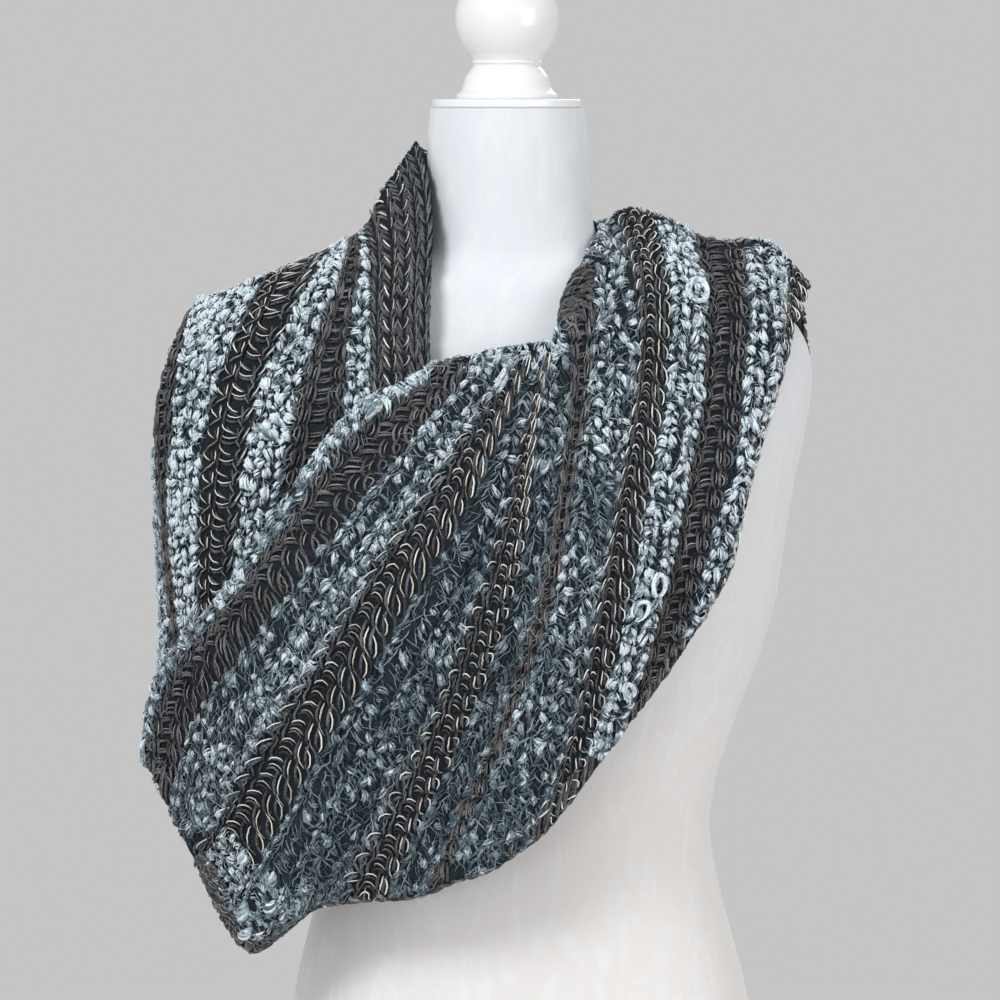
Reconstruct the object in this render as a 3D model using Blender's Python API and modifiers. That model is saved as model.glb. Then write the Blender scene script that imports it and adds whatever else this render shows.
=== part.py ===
"""Knitted infinity scarf worn on a limbless dress form.

The form is a solid torso with a flat foot, a lacquered neck plate and a turned finial.
The scarf is one wide knitted loop.  It comes over one shoulder, crosses the chest as a
fanned stretch, turns under along its hem, climbs to the other shoulder, stands up
beside the neck and closes behind it.

Every size is in millimetres until a mesh is made.  X runs across the form, Z is up and
-Y is the front.  Places on the cloth are given as a front drawing: across, height, and
where the cloth leaves the front, depth.
"""

import math
from typing import NamedTuple

import bmesh
import bpy
from mathutils import Matrix, Vector
from mathutils.bvhtree import BVHTree

COLLECTION = "infinity_scarf_on_dress_form"
MM = 0.001

# --- the knitted cloth -----------------------------------------------------------------
WALL = 4.0                 # chunky double-faced knit
SEAM_GAP = 0.3             # between two stretches
REST_GAP = 1.1             # at the corners of the cloth's grid where it rests on the form
SETTLE_SOFTNESS = 2.5      # how gently the cloth lifts off the form at a contact
HEM_RADIUS = 4.2           # the turned-under hem, at the middle of the wall
HEM_RETURN = 9.0           # how far the hem runs back inside
RIM_RADIUS = 3.2           # the curl of the open rim
RIM_CURL = math.radians(170)
RIM_CURL_LEAST = math.radians(14)

# The front drawing is sighted from this eye point, level with the top of the neck.
EYE_DISTANCE = 4000.0
EYE_HEIGHT = 727.0

# --- the dress form ----------------------------------------------------------------------
TURN = math.radians(4)     # the torso faces a little to its right
LEAN = 11.0                # its foot stands this far aside of the neck axis
NECK_TOP = 724.0
RING_SIDES = 36
SHOULDER_SQUARENESS = 2.35
BUST_ACROSS = 84.0
BUST_HEIGHT = 446.0
BUST_SPREAD = 44.0
BUST_DEPTH = 15.0
PLATE_RADIUS = 49.7
PLATE_THICKNESS = 5.6
PLATE_EDGE = 1.2
FINIAL_STEPS = 40
BALL_RADIUS = 34.4
BALL_CENTRE = 783.4
BALL_ARC_POINTS = 13


class Ring(NamedTuple):
    """One level section of the torso: half width, front depth and back depth."""

    height: float
    half_width: float
    front: float
    back: float


TORSO_RINGS = (
    Ring(0.0, 165, 94, 140),
    Ring(50.0, 164, 96, 142),
    Ring(100.0, 158, 95, 136),
    Ring(150.0, 148, 93, 122),
    Ring(200.0, 135, 90, 104),
    Ring(245.0, 128, 88, 90),
    Ring(280.0, 133, 91, 88),
    Ring(320.0, 147, 98, 92),
    Ring(360.0, 163, 107, 99),
    Ring(400.0, 175, 117, 105),
    Ring(440.0, 181, 121, 110),
    Ring(480.0, 188, 113, 112),
    Ring(515.0, 196, 101, 108),
    Ring(545.0, 200, 88, 98),
    Ring(568.0, 197, 77, 86),
    Ring(585.0, 187, 70, 76),
    Ring(598.0, 158, 65, 68),
    Ring(610.0, 108, 61, 64),
    Ring(621.0, 73, 57, 61),
    Ring(632.0, 60, 55, 59),
    Ring(648.0, 56, 54, 57),
    Ring(672.0, 54, 53.5, 55.5),
    Ring(700.0, 53.5, 54, 54),
    Ring(NECK_TOP, 51, 53, 53),
)

# Turned foot below the ball: radius and height, from the plate up to the ball's throat.
FINIAL_FOOT = (
    (33.6, 730.2), (33.8, 732.6), (31.0, 735.4), (29.4, 738.6), (28.6, 741.6), (27.6, 744.8),
    (25.6, 747.6), (24.2, 749.6), (22.8, 751.2), (22.4, 752.8), (23.4, 754.2), (22.8, 755.6),
)


class Reach(NamedTuple):
    """How far a hanging layer stands from the neck axis at one height."""

    height: float
    left: float
    right: float
    front: float


OUTER_LAYER = (
    Reach(700, 110, 120, 46),
    Reach(640, 150, 190, 62),
    Reach(615, 185, 214, 74),
    Reach(590, 225, 216, 90),
    Reach(560, 240, 214, 103),
    Reach(520, 246, 211, 120),
    Reach(480, 248, 205, 140),
    Reach(440, 252, 208, 154),
    Reach(400, 256, 208, 160),
    Reach(350, 252, 202, 158),
    Reach(300, 253, 190, 152),
    Reach(250, 245, 170, 144),
    Reach(200, 233, 158, 135),
    Reach(150, 216, 146, 126),
)

INNER_LAYER = (
    Reach(700, 100, 100, 44),
    Reach(640, 120, 120, 54),
    Reach(600, 200, 190, 74),
    Reach(560, 231, 200, 90),
    Reach(520, 236, 204, 105),
    Reach(480, 234, 200, 119),
    Reach(440, 230, 194, 132),
    Reach(400, 229, 188, 138),
    Reach(350, 236, 178, 138),
    Reach(300, 254, 168, 131),
    Reach(250, 250, 158, 127),
    Reach(200, 236, 148, 124),
    Reach(150, 216, 138, 115),
)


class FrontLine(NamedTuple):
    """One line down the front stretch, from behind its top to its hem.

    top is across, height and depth of the highest point.  behind and before say how far
    the cloth runs back and forward from the top, and how far it drops there.  fall holds
    across and height at six levels, the last one on the hem.  lift is how far the fold
    stands off the outer layer near the top, halfway and at the hem.  aside is how far the
    line sets off away from the neck.
    """

    name: str
    top: tuple
    behind: tuple
    before: tuple
    fall: tuple
    lift: tuple
    aside: float = 0.0


FRONT_LINES = (
    FrontLine("rim", (-50, 553, -106), (7, 6), (4, 8),
              ((-88, 530), (-118, 503), (-158, 443), (-195, 390), (-232, 345), (-244, 294)),
              (2, 4, 1)),
    FrontLine("rim_brown", (-26, 558, -107), (8, 7), (5, 9),
              ((-69, 517), (-110, 471), (-146, 430), (-180, 385), (-216, 332), (-230, 268)),
              (0, 2, 2)),
    FrontLine("left_pale", (-2, 563, -107), (8, 7), (5, 9),
              ((-38, 515), (-72, 463), (-110, 410), (-146, 355), (-184, 298), (-214, 236)),
              (1, 4, 3)),
    FrontLine("left_ivory", (15, 566, -104), (8, 7), (5, 9),
              ((-10, 520), (-38, 472), (-76, 419), (-112, 360), (-151, 291), (-203, 214)),
              (-3, 0, 0)),
    FrontLine("mid_pale", (24, 567, -102), (8, 7), (5, 9),
              ((5, 513), (-18, 453), (-46, 397), (-77, 338), (-118, 270), (-172, 163)),
              (3, 5, 5)),
    FrontLine("gather_fold", (28, 567, -100), (8, 7), (5, 9),
              ((13, 513), (-6, 455), (-28, 393), (-55, 328), (-91, 262), (-131, 191)),
              (-3, -4, 1)),
    FrontLine("mid_ivory", (32, 568, -99), (7, 5), (5, 9),
              ((20, 513), (9, 450), (-8, 387), (-34, 318), (-65, 252), (-93, 198)),
              (1, 1, -2)),
    FrontLine("valley", (35, 577, -97), (6, 2), (5, 9),
              ((36, 530), (27, 470), (17, 413), (-4, 343), (-37, 267), (-66, 200)),
              (-4, -4, -3), 2),
    FrontLine("neck_brown", (41, 602, -78), (4, 1), (8, 10),
              ((49, 532), (40, 472), (30, 414), (10, 345), (-22, 267), (-50, 204)),
              (-1, 0, 0), 5),
    FrontLine("neck_edge", (53, 622, -52), (5, 0), (9, 10),
              ((61, 562), (55, 500), (46, 438), (29, 369), (0, 286), (-31, 212)),
              (1, 3, 2), 7),
    FrontLine("neck_side", (60, 638, -20), (8, 1), (12, 10),
              ((70, 580), (67, 515), (58, 450), (43, 381), (19, 297), (-11, 218)),
              (3, 6, 3), 7),
    FrontLine("neck_pale", (65, 647, 1), (13, 3), (20, 13),
              ((81, 594), (79, 530), (69, 463), (56, 393), (37, 307), (8, 230)),
              (3, 4, 2), 5),
    FrontLine("right_ivory", (82, 657, 4), (20, 8), (24, 14),
              ((95, 602), (93, 540), (81, 471), (68, 399), (52, 321), (28, 246)),
              (1, 0, 0)),
    FrontLine("right_pale", (110, 647, 4), (26, 11), (24, 14),
              ((122, 597), (119, 537), (107, 468), (95, 403), (79, 345), (62, 290)),
              (5, 5, 2)),
    FrontLine("right_brown", (139, 635, 4), (26, 11), (24, 14),
              ((145, 590), (141, 530), (132, 473), (121, 423), (109, 377), (98, 338)),
              (-2, -2, 1)),
    FrontLine("outer_pale", (172, 634, 3), (26, 12), (22, 14),
              ((173, 583), (166, 527), (157, 484), (147, 447), (138, 412), (129, 383)),
              (4, 6, 5)),
    FrontLine("outer_edge", (199, 608, 2), (26, 12), (18, 14),
              ((190, 580), (182, 550), (172, 518), (163, 485), (156, 452), (149, 418)),
              (1, 4, 4)),
)
FRONT_STEPS = (1, 2, 3, 5, 5, 5, 5, 5)     # rows between neighbouring levels of a line
FRONT_ACROSS = 2                           # columns between neighbouring lines
SEAM_LINE = 11                             # neck_pale: from here the front joins the back


class LeftLine(NamedTuple):
    """One line down the left stretch: seven places, each across, height and depth.

    A place with no depth lies on the inner layer.  Below the last one the line runs on,
    straight at its end, to the turned hem of the front stretch.
    """

    name: str
    places: tuple


LEFT_LINES = (
    LeftLine("back_edge", ((-200, 470, 84), (-212, 450, 77), (-219, 430, 67), (-224, 408, 53),
                           (-227, 386, 35), (-230, 361, 7), (-232, 338, -19))),
    LeftLine("arm_pale", ((-206, 520, 68), (-219, 505, 55), (-227, 478, 42), (-230, 440, 27),
                          (-230, 405, 7), (-229, 372, -20), (-226, 332, -47))),
    LeftLine("arm_brown", ((-194, 566, 46), (-207, 590, 14), (-221, 566, -6), (-232, 522, -13),
                           (-231, 460, -17), (-224, 385, -32), (-214, 305, -59))),
    LeftLine("outer_pale", ((-172, 592, 34), (-184, 602, 6), (-200, 570, -34), (-214, 530, -42),
                            (-220, 465, -43), (-213, 380, -56), (-198, 284, -76))),
    LeftLine("ladder", ((-140, 611, 27), (-148, 617, 3), (-163, 585), (-177, 545),
                        (-188, 480), (-194, 385), (-170, 258))),
    LeftLine("inner_pale", ((-115, 624, 23), (-114, 631, 1), (-126, 601), (-141, 560),
                            (-155, 490), (-163, 400), (-138, 266))),
    LeftLine("stand_fold", ((-99, 635, 15), (-95, 641, -4), (-92, 613, -34), (-93, 576, -61),
                            (-94, 520), (-102, 410), (-107, 268))),
    LeftLine("stand_outer", ((-83, 666, -1), (-80, 652, -18), (-77, 623, -42), (-79, 585, -68),
                             (-78, 528), (-82, 415), (-82, 268))),
    LeftLine("stand_inner", ((-71, 685, -2), (-66, 668, -22), (-63, 632, -48), (-65, 592, -72),
                             (-64, 535), (-60, 420), (-56, 268))),
    LeftLine("stand_edge", ((-59, 701, -3), (-53, 680, -27), (-50, 642, -52), (-52, 598, -75),
                            (-51, 540), (-40, 425), (-32, 272))),
)
LEFT_STEPS = (2, 3, 3, 4, 5, 5, 5, 2)
LEFT_LEAD = 15.0                           # the straight run into the turned hem


class BackLine(NamedTuple):
    """One line round the back, from the left seam to the right one: five places."""

    name: str
    places: tuple


BACK_LINES = (
    BackLine("collar_edge", ((-57, 696, 26), (-36, 686, 54), (0, 673, 66), (36, 660, 58),
                             (56, 648, 42))),
    BackLine("collar_middle", ((-70, 668, 34), (-44, 656, 63), (0, 645, 72), (44, 640, 65),
                               (68, 640, 46))),
    BackLine("collar_foot", ((-88, 634, 42), (-58, 622, 68), (0, 612, 77), (56, 622, 68),
                             (88, 632, 46))),
    BackLine("blade_ridge", ((-130, 606, 54), (-84, 584, 84), (0, 572, 98), (84, 590, 80),
                             (128, 614, 52))),
    BackLine("blade_valley", ((-170, 572, 62), (-104, 548, 90), (0, 530, 106), (104, 556, 88),
                              (162, 596, 54))),
    BackLine("swag_ridge", ((-192, 524, 74), (-116, 496, 106), (0, 482, 121), (116, 516, 104),
                            (182, 578, 60))),
    BackLine("back_hem", ((-190, 458, 78), (-112, 438, 98), (0, 428, 114), (116, 462, 98),
                          (186, 534, 62))),
)
BACK_STEPS = (3, 4, 4, 4, 4, 3)
BACK_CORNER = (200, 560, 34)               # the lower right corner, behind the shoulder

# Base colour, roughness and metallic value of each material.
FINISHES = {
    "slub_knit": ((0.17, 0.20, 0.22), 0.85, 0.0),
    "velvet": ((0.86, 0.87, 0.89), 0.6, 0.0),
    "white_lacquer": ((0.90, 0.90, 0.91), 0.18, 0.0),
}


# --- curves --------------------------------------------------------------------------------

def on_curve(points, count):
    """Return the point at a count of places along the smooth curve through points."""
    first = min(int(count), len(points) - 2)
    part = count - first
    start, end = points[first], points[first + 1]
    before = points[first - 1] if first > 0 else 2 * start - end
    after = points[first + 2] if first + 2 < len(points) else 2 * end - start
    span = max((end - start).length, 1e-6)
    lead = (end - before) * (span / (span + (start - before).length))
    trail = (after - start) * (span / (span + (after - end).length))
    square, cube = part * part, part ** 3
    return (start * (2 * cube - 3 * square + 1) + lead * (cube - 2 * square + part)
            + end * (3 * square - 2 * cube) + trail * (cube - square))


def counts_through(steps):
    """Return the curve counts that split each stretch between two places into steps."""
    counts = [stretch + step / number
              for stretch, number in enumerate(steps) for step in range(number)]
    return counts + [float(len(steps))]


def sighted(across, height, depth):
    """Slide a place of the front drawing along its line of sight to its depth."""
    scale = 1 + depth / EYE_DISTANCE
    return Vector((across * scale, depth, EYE_HEIGHT + (height - EYE_HEIGHT) * scale))


def layer_depth(layer, across, height, lift=0.0):
    """Return the depth of a hanging layer's front at a place of the front drawing."""
    for upper, lower in zip(layer, layer[1:]):
        if height >= lower.height:
            break
    part = min(max((upper.height - height) / (upper.height - lower.height), 0.0), 1.0)
    side = upper.left + (lower.left - upper.left) * part
    if across > 0:
        side = upper.right + (lower.right - upper.right) * part
    front = upper.front + (lower.front - upper.front) * part
    share = min(abs(across) / (side + lift), 1.0)
    return -(front + lift) * math.sqrt(1 - share * share)


# --- the dress form --------------------------------------------------------------------------

def ring_points(ring):
    """Return one level section of the torso, turned about the neck axis."""
    power = 2 / SHOULDER_SQUARENESS if ring.half_width > 60 else 1.0
    points = []
    for step in range(RING_SIDES):
        angle = 2 * math.pi * step / RING_SIDES
        side, ahead = math.sin(angle), -math.cos(angle)
        across = ring.half_width * math.copysign(abs(side) ** power, side)
        depth = (ring.front if ahead < 0 else ring.back) * math.copysign(abs(ahead) ** power, ahead)
        if ahead < 0:
            reach = math.hypot(abs(across) - BUST_ACROSS, ring.height - BUST_HEIGHT)
            depth -= BUST_DEPTH * math.exp(-0.5 * (reach / BUST_SPREAD) ** 2)
        point = Matrix.Rotation(-TURN, 3, "Z") @ Vector((across, depth, ring.height))
        point.x += LEAN * (1 - ring.height / NECK_TOP)
        points.append(point)
    return points


def make_torso():
    """Loft the torso through its rings and close its flat foot and its neck."""
    mesh = bmesh.new()
    loops = [[mesh.verts.new(point * MM) for point in ring_points(ring)] for ring in TORSO_RINGS]
    for lower, upper in zip(loops, loops[1:]):
        for step in range(RING_SIDES):
            following = (step + 1) % RING_SIDES
            mesh.faces.new((lower[step], lower[following], upper[following], upper[step]))
    mesh.faces.new(reversed(loops[0]))
    mesh.faces.new(loops[-1])
    return finish_object("form_torso", mesh, "velvet", sharp_degrees=50)


def make_neck_plate():
    """Make the round lacquered plate that caps the neck."""
    mesh = bmesh.new()
    bmesh.ops.create_cone(mesh, cap_ends=True, segments=FINIAL_STEPS,
                          radius1=PLATE_RADIUS * MM, radius2=PLATE_RADIUS * MM,
                          depth=PLATE_THICKNESS * MM)
    middle = NECK_TOP + SEAM_GAP + PLATE_THICKNESS / 2
    bmesh.ops.translate(mesh, verts=mesh.verts, vec=(0, 0, middle * MM))
    plate = finish_object("form_neck_plate", mesh, "white_lacquer", sharp_degrees=35)
    edge = plate.modifiers.new("eased edge", "BEVEL")
    edge.width = PLATE_EDGE * MM
    edge.segments = 2
    edge.limit_method = "ANGLE"
    return plate


def finial_profile():
    """Return the finial's half outline from the foot's middle up to the ball's crown."""
    start = math.asin(FINIAL_FOOT[-1][0] / BALL_RADIUS)
    outline = [(0.0, FINIAL_FOOT[0][1])] + list(FINIAL_FOOT)
    for step in range(1, BALL_ARC_POINTS + 1):
        angle = start + (math.pi - start) * step / BALL_ARC_POINTS
        radius = BALL_RADIUS * math.sin(angle)
        outline.append((max(radius, 0.0), BALL_CENTRE - BALL_RADIUS * math.cos(angle)))
    return outline


def make_finial():
    """Turn the lacquered foot and ball about the neck axis."""
    mesh = bmesh.new()
    corners = [mesh.verts.new((radius * MM, 0, height * MM)) for radius, height in finial_profile()]
    for lower, upper in zip(corners, corners[1:]):
        mesh.edges.new((lower, upper))
    bmesh.ops.spin(mesh, geom=mesh.verts[:] + mesh.edges[:], cent=(0, 0, 0), axis=(0, 0, 1),
                   angle=2 * math.pi, steps=FINIAL_STEPS, use_merge=True, dvec=(0, 0, 0))
    bmesh.ops.remove_doubles(mesh, verts=mesh.verts, dist=1e-6)
    bmesh.ops.recalc_face_normals(mesh, faces=mesh.faces)
    return finish_object("form_finial", mesh, "white_lacquer", sharp_degrees=40)


# --- the cloth ---------------------------------------------------------------------------------

class Cloth:
    """A grid of places on the middle of the wall, and the wall's direction at each one."""

    def __init__(self, places):
        self.places = places
        self.walls = [[None] * len(places[0]) for _ in places]

    def settle(self, form, first_row=0):
        """Lift the places that lie too near the form until the wall just rests on it."""
        least = WALL / 2 + REST_GAP
        for row in self.places[first_row:]:
            for column, place in enumerate(row):
                near, outward, _, _ = form.find_nearest(place)
                apart = (place - near).dot(outward)
                excess = (apart - least) / SETTLE_SOFTNESS
                if excess < 4:
                    eased = SETTLE_SOFTNESS * math.log1p(math.exp(excess))
                    row[column] = place + outward * (least + eased - apart)

    def find_walls(self):
        """Set the wall's direction from the neighbours along and across the cloth."""
        last_row, last_column = len(self.places) - 1, len(self.places[0]) - 1
        for row in range(last_row + 1):
            above, below = self.places[max(row - 1, 0)], self.places[min(row + 1, last_row)]
            for column in range(last_column + 1):
                along = below[column] - above[column]
                line = self.places[row]
                across = line[min(column + 1, last_column)] - line[max(column - 1, 0)]
                self.walls[row][column] = along.cross(across).normalized()

    def turn_hem(self):
        """Turn the last row under, round the hem's radius, and run it back inside."""
        ends = list(zip(self.places[-1], self.places[-2], self.walls[-1]))
        onward = [(end - before).normalized() for end, before, _ in ends]
        for turn in (45, 90, 135, 180):
            angle = math.radians(turn)
            self.places.append([
                end + wall * HEM_RADIUS * (math.cos(angle) - 1) + way * HEM_RADIUS * math.sin(angle)
                for (end, _, wall), way in zip(ends, onward)])
            self.walls.append([wall * math.cos(angle) + way * math.sin(angle)
                               for (_, _, wall), way in zip(ends, onward)])
        self.places.append([place - way * HEM_RETURN
                            for place, way in zip(self.places[-1], onward)])
        self.walls.append(list(self.walls[-1]))

    def leaving(self, row, row_inside):
        """Return the directions that leave the cloth at an end row, square to it."""
        line, last = self.places[row], len(self.places[row]) - 1
        ways = []
        for column, (place, wall) in enumerate(zip(line, self.walls[row])):
            aside = line[min(column + 1, last)] - line[max(column - 1, 0)]
            way = aside.cross(wall).normalized()
            outward = place - self.places[row_inside][column]
            ways.append(way if way.dot(outward) > 0 else -way)
        return ways

    def curl_rim(self, curl_of_row):
        """Curl the first column under, by an angle that the row's number gives."""
        for row, (line, walls) in enumerate(zip(self.places, self.walls)):
            edge, wall = line[0], walls[0]
            outward = (edge - line[1]).normalized()
            outward = (outward - wall * outward.dot(wall)).normalized()
            for part in (1, 2, 3):
                angle = curl_of_row(row) * part / 3
                line.insert(0, edge + wall * RIM_RADIUS * (math.cos(angle) - 1)
                            + outward * RIM_RADIUS * math.sin(angle))
                walls.insert(0, wall * math.cos(angle) + outward * math.sin(angle))

    def to_mesh(self):
        """Close the two faces of the wall round their edges."""
        mesh = bmesh.new()
        rows, columns = len(self.places), len(self.places[0])
        faces = []
        for side in (0.5, -0.5):
            faces.append([[mesh.verts.new((place + wall * WALL * side) * MM)
                           for place, wall in zip(line, walls)]
                          for line, walls in zip(self.places, self.walls)])
        outer, inner = faces
        for row in range(rows - 1):
            for column in range(columns - 1):
                for sheet in (outer, inner):
                    corners = [sheet[row][column], sheet[row + 1][column],
                               sheet[row + 1][column + 1], sheet[row][column + 1]]
                    mesh.faces.new(corners if sheet is outer else corners[::-1])
        border = ([(row, 0) for row in range(rows - 1)]
                  + [(rows - 1, column) for column in range(columns - 1)]
                  + [(row, columns - 1) for row in range(rows - 1, 0, -1)]
                  + [(0, column) for column in range(columns - 1, 0, -1)])
        for here, there in zip(border, border[1:] + border[:1]):
            corners = [outer[there[0]][there[1]], outer[here[0]][here[1]],
                       inner[here[0]][here[1]], inner[there[0]][there[1]]]
            close_edge(mesh, corners)
        return mesh


def close_edge(mesh, corners):
    """Fill one twisted side of a wall, split along its shorter diagonal.

    Two walls that meet at a seam are then split alike.
    """
    first, second, third, fourth = corners
    if (first.co - third.co).length < (second.co - fourth.co).length:
        mesh.faces.new((first, second, third))
        mesh.faces.new((first, third, fourth))
    else:
        mesh.faces.new((second, third, fourth))
        mesh.faces.new((second, fourth, first))


def loft(lines, line_counts, across_counts):
    """Return places on the smooth surface through lines of equally many places."""
    rows = []
    for count in line_counts:
        section = [on_curve(line, count) for line in lines]
        rows.append([on_curve(section, across) for across in across_counts])
    return rows


def front_line_places(line):
    """Return a front line's places: behind its top, the top, before it, and its fall."""
    across, height, depth = line.top
    leads_across, leads_height = line.fall[0][0] - across, line.fall[0][1] - height
    length = math.hypot(leads_across, leads_height)
    places = []
    steps = ((line.behind[0], line.behind[1], -line.aside / 3), (0, 0, 0),
             (-line.before[0], line.before[1], line.aside))
    for run, drop, aside in steps:
        places.append(sighted(across + leads_across * drop / length + aside,
                              height + leads_height * drop / length, depth + run))
    for level, (fall_across, fall_height) in enumerate(line.fall):
        share = level / (len(line.fall) - 1)
        if share < 0.5:
            lift = line.lift[0] + (line.lift[1] - line.lift[0]) * share * 2
        else:
            lift = line.lift[1] + (line.lift[2] - line.lift[1]) * (share * 2 - 1)
        depth = layer_depth(OUTER_LAYER, fall_across, fall_height, lift)
        places.append(sighted(fall_across, fall_height, depth))
    return places


def rim_curl(row):
    """Return how far the rim curls at a row: most of the way down it, least at its ends."""
    opens, closes = sum(FRONT_STEPS[:2]), sum(FRONT_STEPS)
    share = min(max((row - opens) / 5, 0), max((closes - row) / 4, 0), 1)
    return RIM_CURL_LEAST + (RIM_CURL - RIM_CURL_LEAST) * share


def make_front(form):
    """Shape the front stretch, with its turned hem but not yet its rim's curl."""
    lines = [front_line_places(line) for line in FRONT_LINES]
    across = counts_through((FRONT_ACROSS,) * (len(FRONT_LINES) - 1))
    cloth = Cloth(loft(lines, counts_through(FRONT_STEPS), across))
    cloth.settle(form)
    cloth.find_walls()
    cloth.turn_hem()
    cloth.settle(form, first_row=-1)
    return cloth


def left_place(place):
    """Return a place of the left stretch, on the inner layer where it has no depth."""
    if len(place) == 3:
        return sighted(*place)
    return sighted(*place, layer_depth(INNER_LAYER, *place))


def make_left(form, front):
    """Shape the left stretch, whose foot meets the front stretch's turned hem."""
    foot = [place + way * SEAM_GAP for place, way in zip(front.places[-1], front.leaving(-1, -2))]
    lines = []
    for number, line in enumerate(LEFT_LINES):
        column = number * FRONT_ACROSS
        upward = (front.places[-1][column] - front.places[-2][column]).normalized()
        lead = foot[column] + upward * LEFT_LEAD
        lines.append([left_place(place) for place in line.places] + [lead, foot[column]])
    across = counts_through((FRONT_ACROSS,) * (len(LEFT_LINES) - 1))
    cloth = Cloth(loft(lines, counts_through(LEFT_STEPS), across))
    cloth.settle(form)
    cloth.places[-1] = foot[:len(across)]
    cloth.find_walls()
    cloth.walls[-1] = [-wall for wall in front.walls[-1][:len(across)]]
    return cloth


def seam_end(cloth, columns):
    """Return the places and walls just past a cloth's first row, a seam's gap away."""
    ways = cloth.leaving(0, 1)
    places = [cloth.places[0][column] + ways[column] * SEAM_GAP for column in columns]
    return places, [cloth.walls[0][column] for column in columns]


def make_back(form, left, front):
    """Shape the back stretch between the left seam and the right one."""
    columns = len(left.places[0])
    starts, start_walls = seam_end(left, range(columns - 1, -1, -1))
    ends, end_walls = seam_end(front, range(SEAM_LINE * FRONT_ACROSS, len(front.places[0])))
    corner = sighted(*BACK_CORNER)
    spare, last = columns - len(ends), ends[-1]
    for step in range(1, spare + 1):
        ends.append(last.lerp(corner, step / spare))
        end_walls.append(end_walls[-1])
    lines = [[sighted(*place) for place in line.places] for line in BACK_LINES]
    rows = [[] for _ in range(sum(BACK_STEPS) + 1)]
    for column in range(columns):
        count = (len(lines) - 1) * column / (columns - 1)
        middle = [on_curve([line[place] for line in lines], count) for place in range(5)]
        strand = [starts[column]] + middle + [ends[column]]
        for row, along in enumerate(counts_through(BACK_STEPS)):
            rows[row].append(on_curve(strand, along))
    cloth = Cloth(rows)
    cloth.settle(form)
    cloth.places[0], cloth.places[-1] = starts, ends
    cloth.find_walls()
    cloth.walls[0] = start_walls
    cloth.walls[-1] = end_walls
    return cloth


# --- objects -----------------------------------------------------------------------------------

def finish_material(name):
    """Return the named finish as a Principled material."""
    material = bpy.data.materials.get(name)
    if material is None:
        colour, roughness, metallic = FINISHES[name]
        material = bpy.data.materials.new(name)
        material.use_nodes = True
        shader = material.node_tree.nodes["Principled BSDF"]
        shader.inputs["Base Color"].default_value = (*colour, 1)
        shader.inputs["Roughness"].default_value = roughness
        shader.inputs["Metallic"].default_value = metallic
    return material


def finish_object(name, mesh, finish, sharp_degrees):
    """Turn a bmesh into a smooth-shaded object with its finish, and file it."""
    data = bpy.data.meshes.new(name)
    mesh.to_mesh(data)
    mesh.free()
    data.shade_smooth()
    data.set_sharp_from_angle(angle=math.radians(sharp_degrees))
    data.materials.append(finish_material(finish))
    made = bpy.data.objects.new(name, data)
    bpy.data.collections[COLLECTION].objects.link(made)
    return made


def clear_scene():
    """Remove what the scene holds and add the part's collection."""
    for old in list(bpy.data.objects):
        bpy.data.objects.remove(old, do_unlink=True)
    bpy.context.scene.collection.children.link(bpy.data.collections.new(COLLECTION))


def torso_surface(torso):
    """Return the torso's surface in millimetres, for the cloth to rest on."""
    corners = [vertex.co / MM for vertex in torso.data.vertices]
    sides = [tuple(face.vertices) for face in torso.data.polygons]
    return BVHTree.FromPolygons(corners, sides)


def main():
    """Build the form, then the three stretches of the scarf on it."""
    clear_scene()
    form = torso_surface(make_torso())
    make_neck_plate()
    make_finial()
    front = make_front(form)
    left = make_left(form, front)
    back = make_back(form, left, front)
    front.curl_rim(rim_curl)
    finish_object("scarf_front", front.to_mesh(), "slub_knit", sharp_degrees=60)
    finish_object("scarf_left", left.to_mesh(), "slub_knit", sharp_degrees=60)
    finish_object("scarf_back", back.to_mesh(), "slub_knit", sharp_degrees=60)


main()
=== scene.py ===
"""Looks of a slub-knit infinity scarf worn on a velvet-covered dress form.

The scarf is drawn as its maker works it: a thin ground cloth for each stretch of the loop,
and on it the yarns, stitch by stitch.  Tufts of pale slub fill the wide stripes, ladders of
ivory thread and of brown yarn run between them.  Sizes are in millimetres until a mesh is
made.  X runs across the form, Z is up and -Y is the front.
"""

import logging
import math
from dataclasses import dataclass, field, replace
from enum import Enum
from typing import NamedTuple, Sequence

import bmesh
import bpy
import numpy as np
from mathutils import Matrix, Vector
from mathutils.bvhtree import BVHTree


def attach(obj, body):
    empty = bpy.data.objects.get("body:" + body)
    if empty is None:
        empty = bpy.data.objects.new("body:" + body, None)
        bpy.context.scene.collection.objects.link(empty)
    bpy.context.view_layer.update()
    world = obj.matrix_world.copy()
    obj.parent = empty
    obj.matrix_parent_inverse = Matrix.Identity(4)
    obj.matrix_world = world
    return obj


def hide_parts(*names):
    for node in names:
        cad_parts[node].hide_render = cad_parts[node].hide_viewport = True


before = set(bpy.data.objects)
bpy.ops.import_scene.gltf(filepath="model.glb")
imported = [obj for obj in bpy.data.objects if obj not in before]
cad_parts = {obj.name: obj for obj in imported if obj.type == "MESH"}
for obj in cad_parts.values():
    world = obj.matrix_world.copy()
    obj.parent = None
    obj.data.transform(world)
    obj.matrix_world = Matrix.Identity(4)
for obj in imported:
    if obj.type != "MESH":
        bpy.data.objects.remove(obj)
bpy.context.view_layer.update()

log = logging.getLogger("scarf")

Array = np.ndarray
Colour = tuple[float, float, float]
Material = bpy.types.Material
Object = bpy.types.Object
MM = 0.001

# --- the draped cloth, as the solids have it
WALL = 4.0
SEAM_GAP = 0.3
REST_GAP = 1.1
SETTLE_SOFTNESS = 2.5
HEM_RADIUS = 4.2
HEM_RETURN = 9.0
RIM_RADIUS = 3.2
RIM_CURL = math.radians(170)
RIM_CURL_LEAST = math.radians(14)
RIM_COLUMNS = 3            # columns that the curl adds before the rim

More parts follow.
